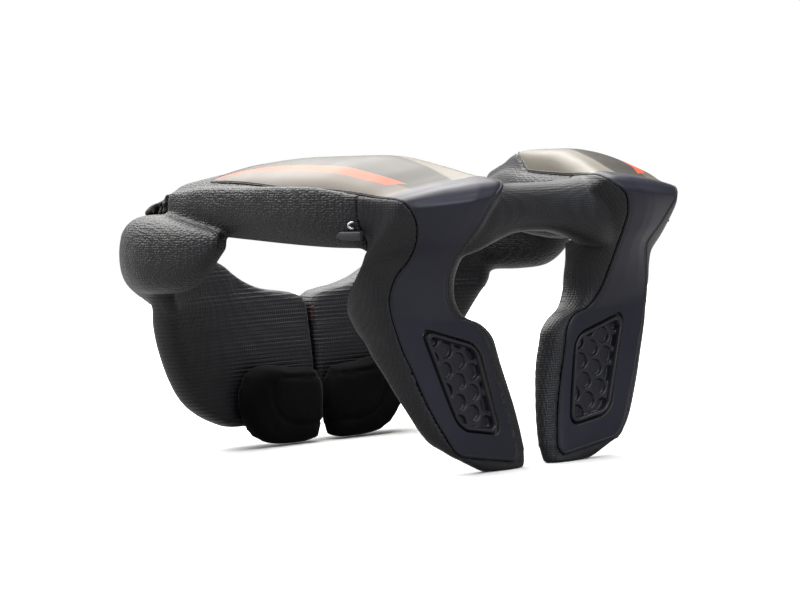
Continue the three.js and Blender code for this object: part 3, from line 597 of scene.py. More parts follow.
def from_edge(x, y):
    """Distance inside the recess's edge, negative outside, with the corners rounded."""
    spot = Vector((x, y))
    inset = []
    for corner, following in zip(flat_corners, flat_corners[1:] + flat_corners[:1]):
        run = (following - corner).normalized()
        inset.append(run.x * (spot.y - corner.y) - run.y * (spot.x - corner.x))
    near = sorted(inset)[:2]
    if near[1] < grip_corner_radius:
        over = [grip_corner_radius - value for value in near]
        return grip_corner_radius - math.hypot(*over) if min(over) > 0 else near[0]
    return near[0]


def in_plane(point):
    """A point of the frame, in metres, as the left recess's plane has it."""
    return grip_inverse @ (point / MM - origin_shift)


def in_recess(point):
    """Distance inside the recess's edge of a point in metres, in the frame, on the left leg."""
    local = in_plane(point)
    return from_edge(local.x, local.y) if abs(local.z) <= recess_reach else -1


# %% [markdown]
# ## Padding
# A cover stretched over cut foam is smooth and full with a few firm lines, which a cloth simulation would
# blow away. So the tubes are swept at full shape, joined by a fine voxel remesh and smoothed, which melts
# wing, bulge and back panel together. The cloth simulation is kept for the velour pads.

# %% Padding tubes
padding_rows = 180
tube_around = 36
bulge_steps = 60
bridge_steps = 80
panel_steps = 60
ahead_step = 0.1
ring_power = 0.8
# Where the panel's ring ends its front face, its outer edge and its rear face
panel_face_end = 0.35
panel_edge_end = 0.55
panel_rear_end = 0.9
panel_bend = 2.5
wing_seam = at(0, 0.151, 0.718)
far_away = 1


def padding_tube():
    def place(around, along):
        return padding_point(round(along * padding_rows) / padding_rows * last_section, around)

    return swept_grid(around_top + around_sides, padding_rows, place, closed=True)


def round_point(middle, sideways, half_wide, half_tall, around):
    """A point of a rounded ring that stands on a horizontal direction."""
    turn = 2 * math.pi * around
    c, s = math.cos(turn), math.sin(turn)
    wide = math.copysign(abs(c) ** ring_power, c) * half_wide
    tall = math.copysign(abs(s) ** ring_power, s) * half_tall
    return middle + sideways * wide + Vector((0, 0, tall))


bulge_spine = [drawn(row[0][0], row[0][1], (row[1] + row[2]) / 2) for row in bulge_rows]
bulge_sizes = [
    Vector(((row[1] - row[2]) * height / 2, row[3] * bulge_thickness / 2, 0)) for row in bulge_rows]


def bulge_tube():
    last = len(bulge_rows) - 1

    def place(around, along):
        row = along * last
        ahead = smooth_point(bulge_spine, row + ahead_step) - smooth_point(bulge_spine, row - ahead_step)
        across = Vector((-ahead.y, ahead.x, 0)).normalized()
        half_tall, half_thick, _ = smooth_point(bulge_sizes, row)
        return round_point(smooth_point(bulge_spine, row), across, half_thick, half_tall, around)

    return swept_grid(tube_around, bulge_steps, place, closed=True)


panel_spans = [
    Vector((row[1] * width / 2 + seam_gap, row[2] * width / 2, row[0] * height)) for row in panel_rows]
panel_fronts = [Vector(((row[3] - 0.5) * depth, (row[4] - 0.5) * depth, 0)) for row in panel_rows]


def panel_tube():
    last = len(panel_rows) - 1

    def place(around, along):
        start, end, level = smooth_point(panel_spans, along * last)
        start = max(start, seam_gap)
        front_start, front_end, _ = smooth_point(panel_fronts, along * last)
        turn = end - panel_end_radius
        half = panel_thickness / 2

        def face(share, behind):
            y = front_start + (front_end - front_start) * share ** panel_bend
            return stand(start + (turn - start) * share, y + behind, level)

        if around <= panel_face_end:
            return face(around / panel_face_end, 0)
        if around <= panel_edge_end:
            angle = math.pi * (around - panel_face_end) / (panel_edge_end - panel_face_end)
            x = turn + panel_end_radius * math.sin(angle)
            return stand(x, front_end + half - half * math.cos(angle), level)
        if around <= panel_rear_end:
            return face((panel_rear_end - around) / panel_face_end, panel_thickness)
        return face(0, panel_thickness * (1 - around) / (1 - panel_rear_end))

    return swept_grid(panel_steps, panel_steps, place, closed=True)


bridge_middles = [drawn(*row[:3]) for row in bridge_rows]
bridge_sizes = [Vector((row[4] * bridge_depth / 2, row[3] * bridge_height / 2, 0)) for row in bridge_rows]


def bridge_tube():
    last = len(bridge_rows) - 1

    def place(around, along):
        half_deep, half_tall, _ = smooth_point(bridge_sizes, along * last)
        middle = smooth_point(bridge_middles, along * last)
        return round_point(middle, Vector((0, 1, 0)), half_deep, half_tall, around)

    return swept_grid(tube_around, bridge_steps, place, closed=True)


# %% [markdown]
# ## Beds for the plate and the grip
# The plate lies level with the cloth round it, in a bed pressed into the padding, and a fine dark groove
# shows along its border. Under the grip the bed is deeper.

# %% Beds
bed_depth = 2.2
bed_search = 4.5
groove_half = 1.4
lift_reach = 3
grip_bed_depth = 6.5
grip_bed_slope = 1.5
# A point is beside the plate, not under it, when its distance is more than this share of that to the border
beside_share = 0.6
foot_round = 9
foot_rounds = 30


def press_beds(mesh):
    for vertex in mesh.verts:
        side = 1 if vertex.co.x >= 0 else -1
        spot = Vector((vertex.co.x * side, vertex.co.y, vertex.co.z))
        near, normal, _, distance = plate_tree.find_nearest(spot, bed_search * MM)
        if near is None:
            continue
        to_border = border_tree.find(spot)[2] / MM
        if distance / MM > beside_share * to_border:
            level = (near - spot).dot(normal) * (1 - smooth_step(to_border / lift_reach))
            press = bed_depth * smooth_step((groove_half - to_border) / (2 * groove_half))
            spot += normal * (level - press * MM)
        else:
            press = bed_depth * smooth_step((groove_half + to_border) / (2 * groove_half))
            inside = in_recess(spot)
            if inside > 0:
                press += (grip_bed_depth - bed_depth) * smooth_step(inside / grip_bed_slope)
            spot = near - normal * press * MM
        vertex.co = (spot.x * side, spot.y, spot.z)
    return mesh


def settle_on_floor(mesh):
    for vertex in mesh.verts:
        vertex.co.z = max(vertex.co.z, 0)
    low = [vertex for vertex in mesh.verts if vertex.co.z < foot_round * MM]
    if low:
        smoothed(mesh, foot_rounds, verts=low)
    lowest = min((vertex.co.z for vertex in low), default=0)
    for vertex in low:
        vertex.co.z -= lowest * (1 - vertex.co.z / (foot_round * MM))
    return mesh


# %% [markdown]
# ## Materials
# Each finish is built from nodes. Patterns read Object coordinates, because every piece lies at the origin in
# metres, so one millimetre is the same everywhere. Small helpers add a node, set it and wire its inputs.

# %% Node helpers
wave_scale = 0.314


def feed(tree, target, inputs):
    """Wires sockets into a node's inputs, and sets its other inputs to values."""
    for key, value in inputs.items():
        if isinstance(value, bpy.types.NodeSocket):
            tree.links.new(value, target.inputs[key])
        else:
            target.inputs[key].default_value = value


def node(tree, kind, inputs=None, **settings):
    new = tree.nodes.new(kind)
    for key, value in settings.items():
        setattr(new, key, value)
    feed(tree, new, inputs or {})
    return new


def new_material(name):
    material = bpy.data.materials.new(name)
    material.use_nodes = True
    tree = material.node_tree
    tree.nodes.clear()
    shader = node(tree, "ShaderNodeBsdfPrincipled")
    node(tree, "ShaderNodeOutputMaterial", {"Surface": shader.outputs[0]})
    spot = node(tree, "ShaderNodeTexCoord").outputs["Object"]
    return material, tree, shader, spot


def math_node(tree, operation, first, second=0, third=0):
    return node(tree, "ShaderNodeMath", {0: first, 1: second, 2: third}, operation=operation).outputs[0]


def noise(tree, spot, scale, detail):
    return node(tree, "ShaderNodeTexNoise", {"Vector": spot, "Scale": scale, "Detail": detail}).outputs["Fac"]


def bands(tree, spot, period, distortion, direction):
    """Soft stripes whose period is in millimetres."""
    inputs = {"Vector": spot, "Scale": wave_scale / (period * MM), "Distortion": distortion}
    wave = node(tree, "ShaderNodeTexWave", inputs, wave_type="BANDS", bands_direction=direction)
    return wave.outputs["Fac"]


def ranged(tree, value, low, high, start=0, end=1):
    """The value's run from low to high, mapped to the run from start to end."""
    inputs = {"Value": value, "From Min": low, "From Max": high, "To Min": start, "To Max": end}
    return node(tree, "ShaderNodeMapRange", inputs).outputs[0]


def ramp(tree, value, *stops):
    """A ramp between two stops, each a position and a grey."""
    new = node(tree, "ShaderNodeValToRGB", {"Fac": value})
    for element, (position, grey) in zip(new.color_ramp.elements, stops):
        element.position = position
        element.color = (grey, grey, grey, 1)
    return new.outputs["Color"]


def mixed(tree, share, first, second):
    first, second = ((*value, 1) if isinstance(value, tuple) else value for value in (first, second))
    return node(tree, "ShaderNodeMix", {0: share, 6: first, 7: second}, data_type="RGBA").outputs[2]


def bumped(tree, shader, layers):
    """Bump nodes in a row. layers are (height socket, strength, distance in millimetres)."""
    normal = None
    for height_socket, strength, distance in layers:
        inputs = {"Height": height_socket, "Strength": strength, "Distance": distance * MM}
        if normal:
            inputs["Normal"] = normal
        normal = node(tree, "ShaderNodeBump", inputs).outputs[0]
    feed(tree, shader, {"Normal": normal})


# %% [markdown]
# ## Mesh cloth
# The cover is a knitted spacer mesh. On the wings and the corner bulges its face is pebbled, with grains of
# 1.9 mm by 1.25 mm. On the legs, the bridge and the back panel it is knitted in fine rows. Both are smooth
# Voronoi cells, squeezed along Z. The lower back panel also has ribs across it, from soft bands. The colour
# follows this relief: painted highlight on the tops of the grains and ribs, painted shade in the grooves.

# %% Cloth finishes
# The dark tone is the cloth's own and is also painted into the grooves as shade; the light tone is the grain
# tops with a painted highlight.
cloth_dark_and_painted_groove_shade = (0.002, 0.002, 0.0036)
cloth_grain_and_painted_highlight = (0.014, 0.014, 0.022)
grain_size = (1.9, 1.9, 1.25)
row_size = (1.5, 1.5, 1.25)
cell_softness = 0.35
cell_top = 0.75
rib_period = 2.3
rib_share = 0.32
fine_share = 0.6
back_starts = 62
back_full = 80
rib_top = 118
rib_fade = 20
# Stops of the ramps from painted shade in the grooves to painted highlight on the grains, and from clear to
# clouded
groove_shade_and_grain_highlight_tones = ((0.25, 0), (0.7, 1))
cloud_tones = ((0.35, 0), (0.7, 0.3))


def grains(tree, spot, size, randomness):
    scaled = node(tree, "ShaderNodeMapping", {"Vector": spot, "Scale": [1 / (value * MM) for value in size]})
    inputs = {"Vector": scaled.outputs[0], "Scale": 1, "Randomness": randomness, "Smoothness": cell_softness}
    cells = node(tree, "ShaderNodeTexVoronoi", inputs, feature="SMOOTH_F1")
    return math_node(tree, "SUBTRACT", cell_top, cells.outputs["Distance"])


def cloth_material(name, size, randomness, relief, roughness=0.48, ribbed_back=False):
    material, tree, shader, spot = new_material(name)
    surface = grains(tree, spot, size, randomness)
    if ribbed_back:
        place = node(tree, "ShaderNodeSeparateXYZ", {"Vector": spot})
        far_back = ranged(tree, place.outputs[1], back_starts * MM, back_full * MM)
        low_down = ranged(tree, place.outputs[2], rib_top * MM, (rib_top - rib_fade) * MM)
        fine = math_node(tree, "MULTIPLY", grains(tree, spot, row_size, 0.2), fine_share)
        ribs = math_node(tree, "MULTIPLY_ADD", bands(tree, spot, rib_period, 0.3, "Z"), rib_share, fine)
        share = math_node(tree, "MULTIPLY", far_back, low_down)
        surface = node(tree, "ShaderNodeMix", {0: share, 2: surface, 3: ribs}).outputs[0]
    clouds = ramp(tree, noise(tree, spot, 35, 3), *cloud_tones)
    # Painted shade in the grooves and painted highlight on the tops of grains and ribs, following the relief.
    colour = mixed(tree, ramp(tree, surface, *groove_shade_and_grain_highlight_tones), cloth_dark_and_painted_groove_shade, cloth_grain_and_painted_highlight)
    feed(tree, shader, {
        "Base Color": mixed(tree, clouds, colour, cloth_dark_and_painted_groove_shade), "Roughness": roughness,
        "Specular IOR Level": 0.5, "Sheen Weight": 0.14, "Sheen Roughness": 0.35})
    bumped(tree, shader, [(surface, 1, relief), (noise(tree, spot, 2600, 2), 0.25, 0.06)])
    return material


pebbled_cloth = cloth_material("Pebbled mesh cloth", grain_size, 0.55, 0.6, ribbed_back=True)
knitted_cloth = cloth_material("Fine knitted cloth", row_size, 0.25, 0.35)
bead_cloth = cloth_material("Piping", (0.9, 0.9, 0.9), 0.4, 0.1, roughness=0.5)

# %% [markdown]
# ## Moulded plate
# The plate is satin plastic with a very fine moulded grain. Its top carries coloured fields and a plain orange
# stripe. The fields are partly print and partly painted light: the wing's top, which faces the light above, is
# painted lighter, with a pale painted highlight near its neck-side edge towards the tip and painted shade in
# the darker field on the neck side of the stripe, and this ends at the ridge, where the plate turns down the
# leg.
# Stripe and fields follow the surface, so they read the plate's own UV map: U runs across the plate, and V
# along it from the tip behind the shoulder to the foot of the leg.

# %% Plate finish
plate_dark = (0.009, 0.009, 0.019)
plate_light = (0.017, 0.017, 0.033)
plate_worn = (0.05, 0.05, 0.06)
# Field colours: partly print, partly painted light, with painted shade in the dark field and painted highlight
# in the brown and pale ones.
field_dark_and_painted_shade = (0.03, 0.026, 0.02)
field_brown_and_painted_highlight = (0.095, 0.076, 0.058)
field_pale_and_painted_highlight = (0.16, 0.145, 0.118)
lit_field_end = (0.262, 0.272)
pale_slope = -0.9
pale_end = (0.08, 0.1)
stripe_orange = (0.5, 0.065, 0.018)
stripe_half = 0.06
stripe_end = 0.235
stripe_slant = 0.12
# Columns: place along the plate, the stripe's middle across it
stripe_ends = ((0, 0.66), (1, 0.6))
stripe_middles = ((0.06, 0.69), (0.13, 0.74), (0.19, 0.78), (0.25, 0.74))


def stripe_middle(tree, along):
    middle = node(tree, "ShaderNodeFloatCurve", {"Value": along})
    points = middle.mapping.curves[0].points
    for point, location in zip(points, stripe_ends):
        point.location = location
    for location in stripe_middles:
        points.new(*location)
    middle.mapping.update()
    return middle.outputs[0]


def plate_material():
    material, tree, shader, spot = new_material("Satin moulded plate")
    uv = node(tree, "ShaderNodeUVMap", uv_map="cloth").outputs[0]
    across, along, _ = node(tree, "ShaderNodeSeparateXYZ", {"Vector": uv}).outputs
    off_middle = math_node(tree, "SUBTRACT", across, stripe_middle(tree, along))
    in_stripe = math_node(tree, "LESS_THAN", math_node(tree, "ABSOLUTE", off_middle), stripe_half)
    slanted = math_node(tree, "ADD", along, math_node(tree, "MULTIPLY", off_middle, stripe_slant))
    stripe = math_node(tree, "MULTIPLY", in_stripe, math_node(tree, "LESS_THAN", slanted, stripe_end))
    outside = math_node(tree, "GREATER_THAN", off_middle)
    pale_edge = math_node(tree, "ADD", across, math_node(tree, "MULTIPLY", along, pale_slope))
    field = mixed(tree, outside, field_dark_and_painted_shade, field_brown_and_painted_highlight)
    field = mixed(tree, ramp(tree, pale_edge, (pale_end[0], 1), (pale_end[1], 0)), field, field_pale_and_painted_highlight)
    clouds = ramp(tree, noise(tree, spot, 18, 2), (0.3, 0), (0.8, 1))
    # The fields and their painted light cover only the wing's top and end at the ridge.
    on_lit_wing_top = ramp(tree, along, (lit_field_end[0], 1), (lit_field_end[1], 0))
    base = mixed(tree, on_lit_wing_top, mixed(tree, clouds, plate_dark, plate_light), field)
    base = mixed(tree, stripe, base, stripe_orange)
    edge = node(tree, "ShaderNodeNewGeometry").outputs["Pointiness"]
    base = mixed(tree, ramp(tree, edge, (0.52, 0), (0.6, 0.25)), base, plate_worn)
    roughness = ranged(tree, noise(tree, spot, 60, 4), 0, 1, 0.36, 0.48)
    feed(tree, shader, {"Base Color": base, "Roughness": roughness, "Specular IOR Level": 0.4})
    bumped(tree, shader, [(noise(tree, spot, 1800, 2), 0.3, 0.03)])
    return material


plate_finish = plate_material()

# %% Plastic, rubber and wire finishes
plastic_shade = 0.7
roughness_spread = 0.05


def plastic_material(name, colour, roughness, metallic=0):
    material, tree, shader, spot = new_material(name)
    clouds = noise(tree, spot, 120, 3)
    darker = tuple(value * plastic_shade for value in colour)
    rough = ranged(tree, clouds, 0, 1, roughness - roughness_spread, roughness + roughness_spread)
    feed(tree, shader, {
        "Base Color": mixed(tree, clouds, darker, colour), "Roughness": rough, "Metallic": metallic})
    bumped(tree, shader, [(noise(tree, spot, 1500, 2), 0.3, 0.03)])
    return material


grip_finish = plastic_material("Grip rubber", (0.017, 0.017, 0.025), 0.36)
release_finish = plastic_material("Grey tab plastic", (0.035, 0.035, 0.04), 0.35)
wire_finish = plastic_material("Bright wire", (0.75, 0.76, 0.78), 0.25, metallic=1)

# %% [markdown]
# ## Velour, elastic and thread
# Velour is a short dense pile, nearly black, with a faint sheen at grazing angles and a patchy nap. Elastic
# is woven in tight cross ribs. The tack is satin-stitched thread.

# %% Velour, elastic and thread finishes
velour_dark = (0.001, 0.001, 0.001)
velour_light = (0.004, 0.004, 0.0045)


def velour_material():
    material, tree, shader, spot = new_material("Velour")
    nap = noise(tree, spot, 45, 4)
    colour = mixed(tree, ramp(tree, nap, (0.35, 0), (0.7, 1)), velour_dark, velour_light)
    feed(tree, shader, {
        "Base Color": colour, "Roughness": 0.95, "Specular IOR Level": 0.15, "Sheen Weight": 0.05,
        "Sheen Roughness": 0.35})
    bumped(tree, shader, [(noise(tree, spot, 1900, 3), 0.6, 0.15), (nap, 0.3, 0.4)])
    return material


def woven_material(name, dark, light, period, roughness=0.55):
    material, tree, shader, spot = new_material(name)
    weave = bands(tree, spot, period, 0.4, "X")
    feed(tree, shader, {
        "Base Color": mixed(tree, weave, dark, light), "Roughness": roughness, "Sheen Weight": 0.1})
    bumped(tree, shader, [(weave, 0.6, 0.2), (noise(tree, spot, 2200, 2), 0.3, 0.08)])
    return material


velour = velour_material()
elastic = woven_material("Elastic", (0.003, 0.003, 0.004), (0.014, 0.014, 0.017), 1.1)
thread = woven_material("Red thread", (0.09, 0.005, 0.007), (0.26, 0.014, 0.018), 0.5)

# %% [markdown]
# ## Wings, corner bulges and back panel
# One side is made and mirrored. The tube of padding is cut at the seam between wing and leg, and the part
# behind it is joined with the bulge and half of the back panel.

# %% Side padding
voxel = 1.25
skin_rounds = 3
seam_clearance = 0.3 * MM
wing_low = (-seam_clearance, wing_seam.y + seam_clearance, wing_seam.z + seam_clearance)
tab_low, tab_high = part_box("left_rear_tab")
tab_room = Vector((0.2, 0.2, 0.2)) * MM
back_from = 78
back_below = 126
back_rounds = 30


def beyond(low):
    return block(low, (far_away, far_away, far_away))


side = combined(padding_tube(), beyond(wing_low), "INTERSECT")
side = remeshed(joined(side, bulge_tube(), panel_tube()), voxel)
side = combined(side, block(tab_low - tab_room, tab_high + tab_room), "DIFFERENCE")
side = smoothed(remeshed(side, voxel), skin_rounds)
back_part = [
    vertex for vertex in side.verts if vertex.co.y > back_from * MM and vertex.co.z < back_below * MM]
side = settle_on_floor(press_beds(smoothed(side, back_rounds, verts=back_part)))
for obj in both_sides("side_padding", side, pebbled_cloth, "padding", "side_foam"):
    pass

# %% [markdown]
# ## Front legs and bridge
# Both legs and the bridge under the chin are one padded piece. The bridge's cloth runs into the legs without
# a seam, so the three tubes are remeshed together.

# %% Front padding
leg_block_low = (-far_away, wing_seam.y, wing_seam.z)
leg, bridge = (
    combined(tube, beyond(leg_block_low), "DIFFERENCE") for tube in (padding_tube(), bridge_tube()))
front = remeshed(joined(mirrored(leg), leg, bridge), voxel)
front = settle_on_floor(press_beds(smoothed(front, skin_rounds)))
front_padding = piece("front_padding", front, knitted_cloth, "padding", "front_frame")

# %% [markdown]
# ## Plates
# Solidify gives the swept surface its wall, a boolean with a rounded prism cuts the recess, and a small bevel
# rounds the edges that a mould would round.

# %% Plates
plate_edge_round = 0.5
bevelled_from = math.radians(50)
prism_half = 8


def recess_prism():
    mesh = bmesh.new()
    mesh.faces.new([mesh.verts.new((*corner, -prism_half)) for corner in flat_corners])
    bmesh.ops.bevel(
        mesh, geom=mesh.verts[:], offset=grip_corner_radius, segments=8, profile=0.5, affect="VERTICES",
        material=-1)
    grown = bmesh.ops.extrude_face_region(mesh, geom=mesh.faces[:])["geom"]
    top = [part for part in grown if isinstance(part, bmesh.types.BMVert)]
    bmesh.ops.translate(mesh, vec=(0, 0, 2 * prism_half), verts=top)
    bmesh.ops.recalc_face_normals(mesh, faces=mesh.faces)
    for vertex in mesh.verts:
        vertex.co = placed(grip_matrix @ vertex.co)
    return mesh


plate_wall = walled(plate_grid(uvs=True), plate_thickness, use_even_offset=True)
plate_mesh = combined(plate_wall, recess_prism(), "DIFFERENCE")
for obj in both_sides("plate", plate_mesh, plate_finish, "shell", "shell"):
    modify(
        obj, "Rounded edges", "BEVEL", width=plate_edge_round * MM, segments=2, limit_method="ANGLE",
        angle_limit=bevelled_from)

# %% [markdown]
# ## Chest grips
# The grip is a soft moulded insert: a groove, a smooth raised lip and a floor with round cells in staggered
# rows. It is a fine grid whose height follows from the distance to the recess's edge and the nearest cell.

# %% Chest grips
grip_step = 0.4
grip_reach = 34
grip_under = 1.2
grip_wall = 1
groove_level = -2.6
groove_width = 2
lip_level = 0.7
# Columns: distance inside the recess's edge, width of the slope
lip_rise = (0.9, 0.9)
lip_fall = (3, 1.1)
cells_begin = (3.8, 0.6)
cell_radius = 4.6
cell_slope = 0.65
cell_pitch = 10.9
cell_turn = Matrix.Rotation(math.radians(23), 2)
first_cell = Vector((3.9, 12.3))
cell_rows = 5
cell_floor = -3.5
web_level = -1.6
cell_middles = []
for row in range(-cell_rows, cell_rows + 1):
    for column in range(-cell_rows, cell_rows + 1):
        spot = Vector(((column + 0.5 * (row % 2)) * cell_pitch, row * cell_pitch * math.sqrt(3) / 2))
        spot.rotate(cell_turn)
        spot += first_cell
        if from_edge(*spot) > -cell_radius:
            cell_middles.append(spot)


def slope(distance, start, run):
    return smooth_step((distance - start) / run)


def grip_height(x, y):
    inside = from_edge(x, y)
    lip = slope(inside, *lip_rise) - slope(inside, *lip_fall)
    level = groove_level if inside < groove_width else web_level
    level += (lip_level - level) * lip
    to_cell = min(math.hypot(x - middle.x, y - middle.y) for middle in cell_middles)
    sunk = smooth_step((cell_radius - to_cell) / cell_slope) * slope(inside, *cells_begin)
    return level + (cell_floor - web_level) * sunk


def grip_point(across, along):
    x, y = ((share - 0.5) * 2 * grip_reach for share in (across, along))
    return grip_matrix @ Vector((x, y, grip_height(x, y)))


def grip_mesh():
    count = round(2 * grip_reach / grip_step)
    mesh = swept_grid(count, count, grip_point)
    outside = [vertex for vertex in mesh.verts if from_edge(*in_plane(vertex.co).xy) < -grip_under]
    bmesh.ops.delete(mesh, geom=outside, context="VERTS")
    return walled(mesh, grip_wall)


both_sides("grip", grip_mesh(), grip_finish, "grip", "chest_grip")

# %% [markdown]
# ## Piping
# A thin corded edge is sewn into the cover all along the plate, a little outside its border.

# %% Piping along the plates
piping_radius = 0.75
piping_outside = 0.85
piping_sunk = 0.45
piping_step = 0.5
piping_reach = 3
bottom_steps = 12


def corded(path, radius, cyclic=False):
    """A closed mesh tube along points in metres."""
    curve = bpy.data.curves.new("cord", "CURVE")
    curve.dimensions = "3D"
    curve.bevel_depth = radius * MM
    curve.bevel_resolution = 2
    curve.use_fill_caps = not cyclic
    line = curve.splines.new("POLY")
    line.points.add(len(path) - 1)
    for point, spot in zip(line.points, path):
        point.co = (*spot, 1)
    line.use_cyclic_u = cyclic
    return shaped(in_scene("cord", curve))


def border_path():
    border = []
    inner = [(section, 0) for section in plate_stations]
    bottom = [(plate_stations[-1], step / bottom_steps) for step in range(1, bottom_steps)]
    outer = [(section, 1) for section in reversed(plate_stations)]
    for section, across in inner + bottom + outer:
        start, end = plate_span(section)
        spot = placed(surface_point(section, start + (end - start) * across))
        if not border or (spot - border[-1]).length > piping_step * MM:
            border.append(spot)
    path = []
    for index, spot in enumerate(border):
        ahead = border[(index + piping_reach) % len(border)] - border[index - piping_reach]
        _, normal, _, _ = plate_tree.find_nearest(spot)
        outward = normal.cross(ahead).normalized()
        path.append(spot + (outward * piping_outside - normal * piping_sunk) * MM)
    return path


both_sides("piping", corded(border_path(), piping_radius, cyclic=True), bead_cloth, "padding")

# %% [markdown]
# ## Velour pads
# Two velour cushions are fixed low on the front of the back panel. A cloth simulation blows up the packed
# pad, made slightly smaller, as foam fills its sewn cover: the face is crowned and the edge tucked in. A cap
# keeps each point near its start. A line pressed in afterwards is the embossed inner lobe.

# %% Blowing up a pad
pad_start_size = 0.97
pad_voxel = 3.5
pad_pressure = 4
pad_cap = 5
pad_frames = 20
same_spot = 0.01


def cad_copy(name):
    mesh = bmesh.new()
    mesh.from_mesh(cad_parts[name].data)
    bmesh.ops.remove_doubles(mesh, verts=mesh.verts, dist=same_spot * MM)
    return mesh


def blown_up(mesh):
    middle = sum((vertex.co for vertex in mesh.verts), Vector()) / len(mesh.verts)
    bmesh.ops.scale(
        mesh, vec=(pad_start_size,) * 3, verts=mesh.verts, space=Matrix.Translation(-middle))
    obj = scratch_object(remeshed(mesh, pad_voxel))
    started = [vertex.co.copy() for vertex in obj.data.vertices]
    cloth = obj.modifiers.new("Cloth", "CLOTH")
    cloth.settings.use_pressure = True
    cloth.settings.uniform_pressure_force = pad_pressure
    cloth.settings.effector_weights.gravity = 0
    for number in range(1, pad_frames + 1):
        bpy.context.scene.frame_set(number)
    swollen = shaped(obj)
    farthest = 0
    for vertex, start in zip(swollen.verts, started):
        move = vertex.co - start
        farthest = max(farthest, move.length / MM)
        if move.length > pad_cap * MM:
            vertex.co = start + move.normalized() * pad_cap * MM
    print("the pad's points moved by up to", round(farthest, 2), "mm")
    bpy.context.scene.frame_set(1)
    bmesh.ops.subdivide_edges(swollen, edges=swollen.edges, cuts=1, use_grid_fill=True, smooth=0.5)
    return swollen


# %% Embossing and placing the pads
emboss_depth = 1.1
emboss_width = 1.6
# The inner lobe's line on the pad's face, in shares of the pad's width and height, from the centre line out
lobe_line = [
    (0.02, 0.8), (0.25, 0.8), (0.45, 0.82), (0.58, 0.84), (0.66, 0.74), (0.66, 0.56), (0.6, 0.38),
    (0.45, 0.27), (0.25, 0.24), (0.02, 0.24)]


def to_line(spot, line):
    least = far_away
    for start, end in zip(line, line[1:]):
        run = end - start
        share = min(max((spot - start).dot(run) / run.length_squared, 0), 1)
        least = min(least, (start + run * share - spot).length)
    return least


def pad_mesh(name):
    mesh = blown_up(cad_copy(name))
    low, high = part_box(name)
    size = high - low
    line = [Vector((low.x + x * size.x, low.z + z * size.z)) for x, z in lobe_line]
    half = (low.y + high.y) / 2
    for vertex in mesh.verts:
        if vertex.co.y < half:
            gap = to_line(vertex.co.xz, line) / MM
            vertex.co.y += emboss_depth * (1 - smooth_step(gap / emboss_width)) * MM
        vertex.co.y = min(vertex.co.y, high.y)
        vertex.co.z = max(vertex.co.z, 0)
    return mesh


for obj in both_sides("pad", pad_mesh("left_back_pad"), velour, "velour", "back_pad"):
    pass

# %% [markdown]
# ## Elastic tabs, release tabs and wire loops
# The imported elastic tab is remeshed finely, softened and crumpled by a slow wave of folds and a fast wave of
# ribs. The release tab is bevelled all round. Subdivision makes the wire loop's wire rounder.

# %% Small parts of each side
tab_voxel = 0.5
tab_rounds = 8
rib_wave = 2.4
rib_slant = 0.5
rib_relief = 0.35
fold_wave = 13
fold_slant = 0.7
fold_relief = 0.9
release_flat = 0.02
release_round = 0.7


def crumpled(mesh):
    mesh.normal_update()
    for vertex in mesh.verts:
        spot = vertex.co / MM
        ribs = math.sin(2 * math.pi * (spot.x + rib_slant * spot.z) / rib_wave) * rib_relief
        folds = math.sin(2 * math.pi * (spot.y + fold_slant * spot.z) / fold_wave) * fold_relief
        vertex.co += vertex.normal * (ribs + folds) * MM
    return mesh


def tab_mesh():
    return smoothed(crumpled(smoothed(remeshed(cad_copy("left_rear_tab"), tab_voxel), tab_rounds)), 1)


def release_mesh():
    mesh = cad_copy("left_release_tab")
    bmesh.ops.dissolve_limit(mesh, angle_limit=release_flat, verts=mesh.verts, edges=mesh.edges)
    bmesh.ops.bevel(
        mesh, geom=mesh.edges[:], offset=release_round * MM, segments=3, profile=0.5, affect="EDGES",
        material=-1)
    return mesh


def wire_mesh():
    obj = scratch_object(cad_copy("left_wire_loop"))
    return shaped(modify(obj, "Rounder", "SUBSURF", levels=2, render_levels=2))


both_sides("elastic_tab", tab_mesh(), elastic, "elastic", "rear_tab")
both_sides("release_tab", release_mesh(), release_finish, "release", "release_tab")
both_sides("wire_loop", wire_mesh(), wire_finish, "wire", "wire_loop")

# %% [markdown]
# ## Thread tack
# A tack of thick red thread closes the top of the centre seam. The thread runs to and fro across the seam, a
# little lower each time.

# %% Thread tack
thread_radius = 0.34
thread_turns = 11
tack_inset = 0.35
tack_sunk = 0.35


def tack_path():
    path = []
    front_y = tack_low.y + (tack_high.y - tack_low.y) * tack_sunk
    for step in range(2 * thread_turns + 1):
        down = step / (2 * thread_turns)
        side_x = tack_low.x if step % 2 else tack_high.x
        inset = tack_inset * MM * (1 if step % 2 else -1)
        path.append(Vector((side_x + inset, front_y, tack_high.z + (tack_low.z - tack_high.z) * down)))
    return path


piece("thread_tack", corded(tack_path(), thread_radius), thread, "thread", "back_bartack")

# %% [markdown]
# ## Floor, light and camera
# One large soft light above and behind the brace draws the bright rims on its top, with weak fill from the
# front. Floor and backdrop look white to the camera but send less light to the brace. The camera stands
# where the photographer's did: in front of the right leg, a little above the plates, with a long lens.

# %% Floor
floor_radius = 1.5
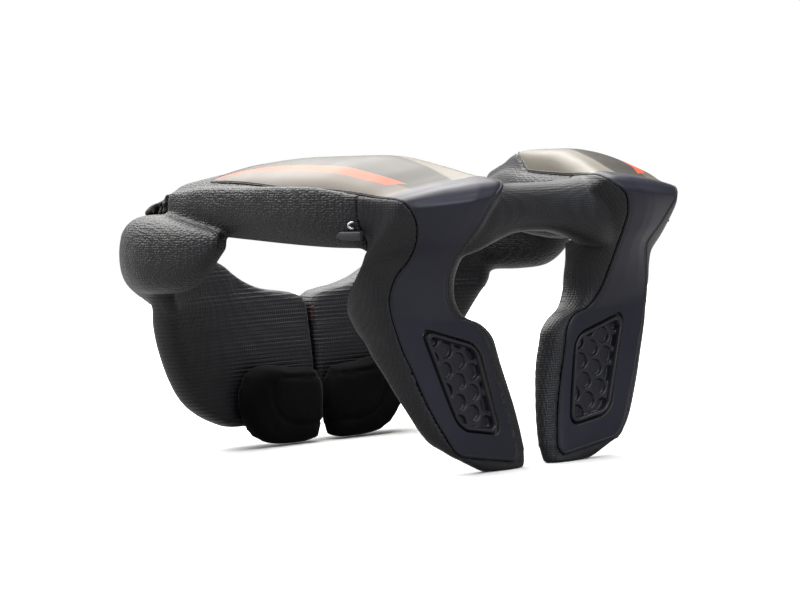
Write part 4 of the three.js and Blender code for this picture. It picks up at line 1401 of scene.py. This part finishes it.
# Both pairs: for the light on the brace, for the camera
floor_tones = (0.22, 0.95)
world_tones = (0.24, 1)


def seen_white(tree, tones):
    camera_ray = node(tree, "ShaderNodeLightPath").outputs["Is Camera Ray"]
    return ranged(tree, camera_ray, 0, 1, *tones)


floor_mesh = bmesh.new()
bmesh.ops.create_circle(floor_mesh, cap_ends=True, segments=96, radius=floor_radius)
floor = in_scene("floor", mesh_data("floor", floor_mesh))
floor_material, floor_tree, floor_shader, _ = new_material("Pale floor")
feed(floor_tree, floor_shader, {"Base Color": seen_white(floor_tree, floor_tones), "Roughness": 0.8})
floor.data.materials.append(floor_material)

# %% Lights
world = bpy.data.worlds.new("Studio")
bpy.context.scene.world = world
world.use_nodes = True
feed(world.node_tree, world.node_tree.nodes["Background"], {
    "Strength": seen_white(world.node_tree, world_tones), "Color": (1, 1, 1, 1)})
# Columns: name, place, size, power, colour
lights = [
    ("Top", (0, 0.7, 1.9), 3.4, 210, (1, 0.985, 0.96)),
    ("Left", (-1.8, 0.3, 0.7), 0.9, 5, (0.95, 0.97, 1)),
    ("Front", (0.3, -1.7, 1.1), 0.6, 12, (0.88, 0.92, 1)),
]
brace_middle = Vector((0, 0, 0.08))
for name, place, size, power, colour in lights:
    data = bpy.data.lights.new(name, "AREA")
    data.size = size
    data.energy = power
    data.color = colour
    light = in_scene(name, data)
    light.location = place
    light.rotation_euler = (brace_middle - Vector(place)).to_track_quat("-Z", "Y").to_euler()

# %% Camera
camera_place = Vector((-976.25, -1154.78, 184.40))
camera_target = Vector((-3.708, 9.159, 85.343))
camera_data = bpy.data.cameras.new("Camera")
camera_data.lens = 121.5
camera_data.sensor_width = 36
camera = in_scene("Camera", camera_data)
upright = Vector((0, -math.sin(lean), math.cos(lean)))
back = (camera_place - camera_target).normalized()
right = upright.cross(back).normalized()
axes = Matrix((right, back.cross(right), back)).transposed().to_4x4()
camera.matrix_world = Matrix.Translation(placed(camera_place)) @ axes
bpy.context.scene.camera = camera
bpy.context.scene.view_settings.view_transform = "Standard"
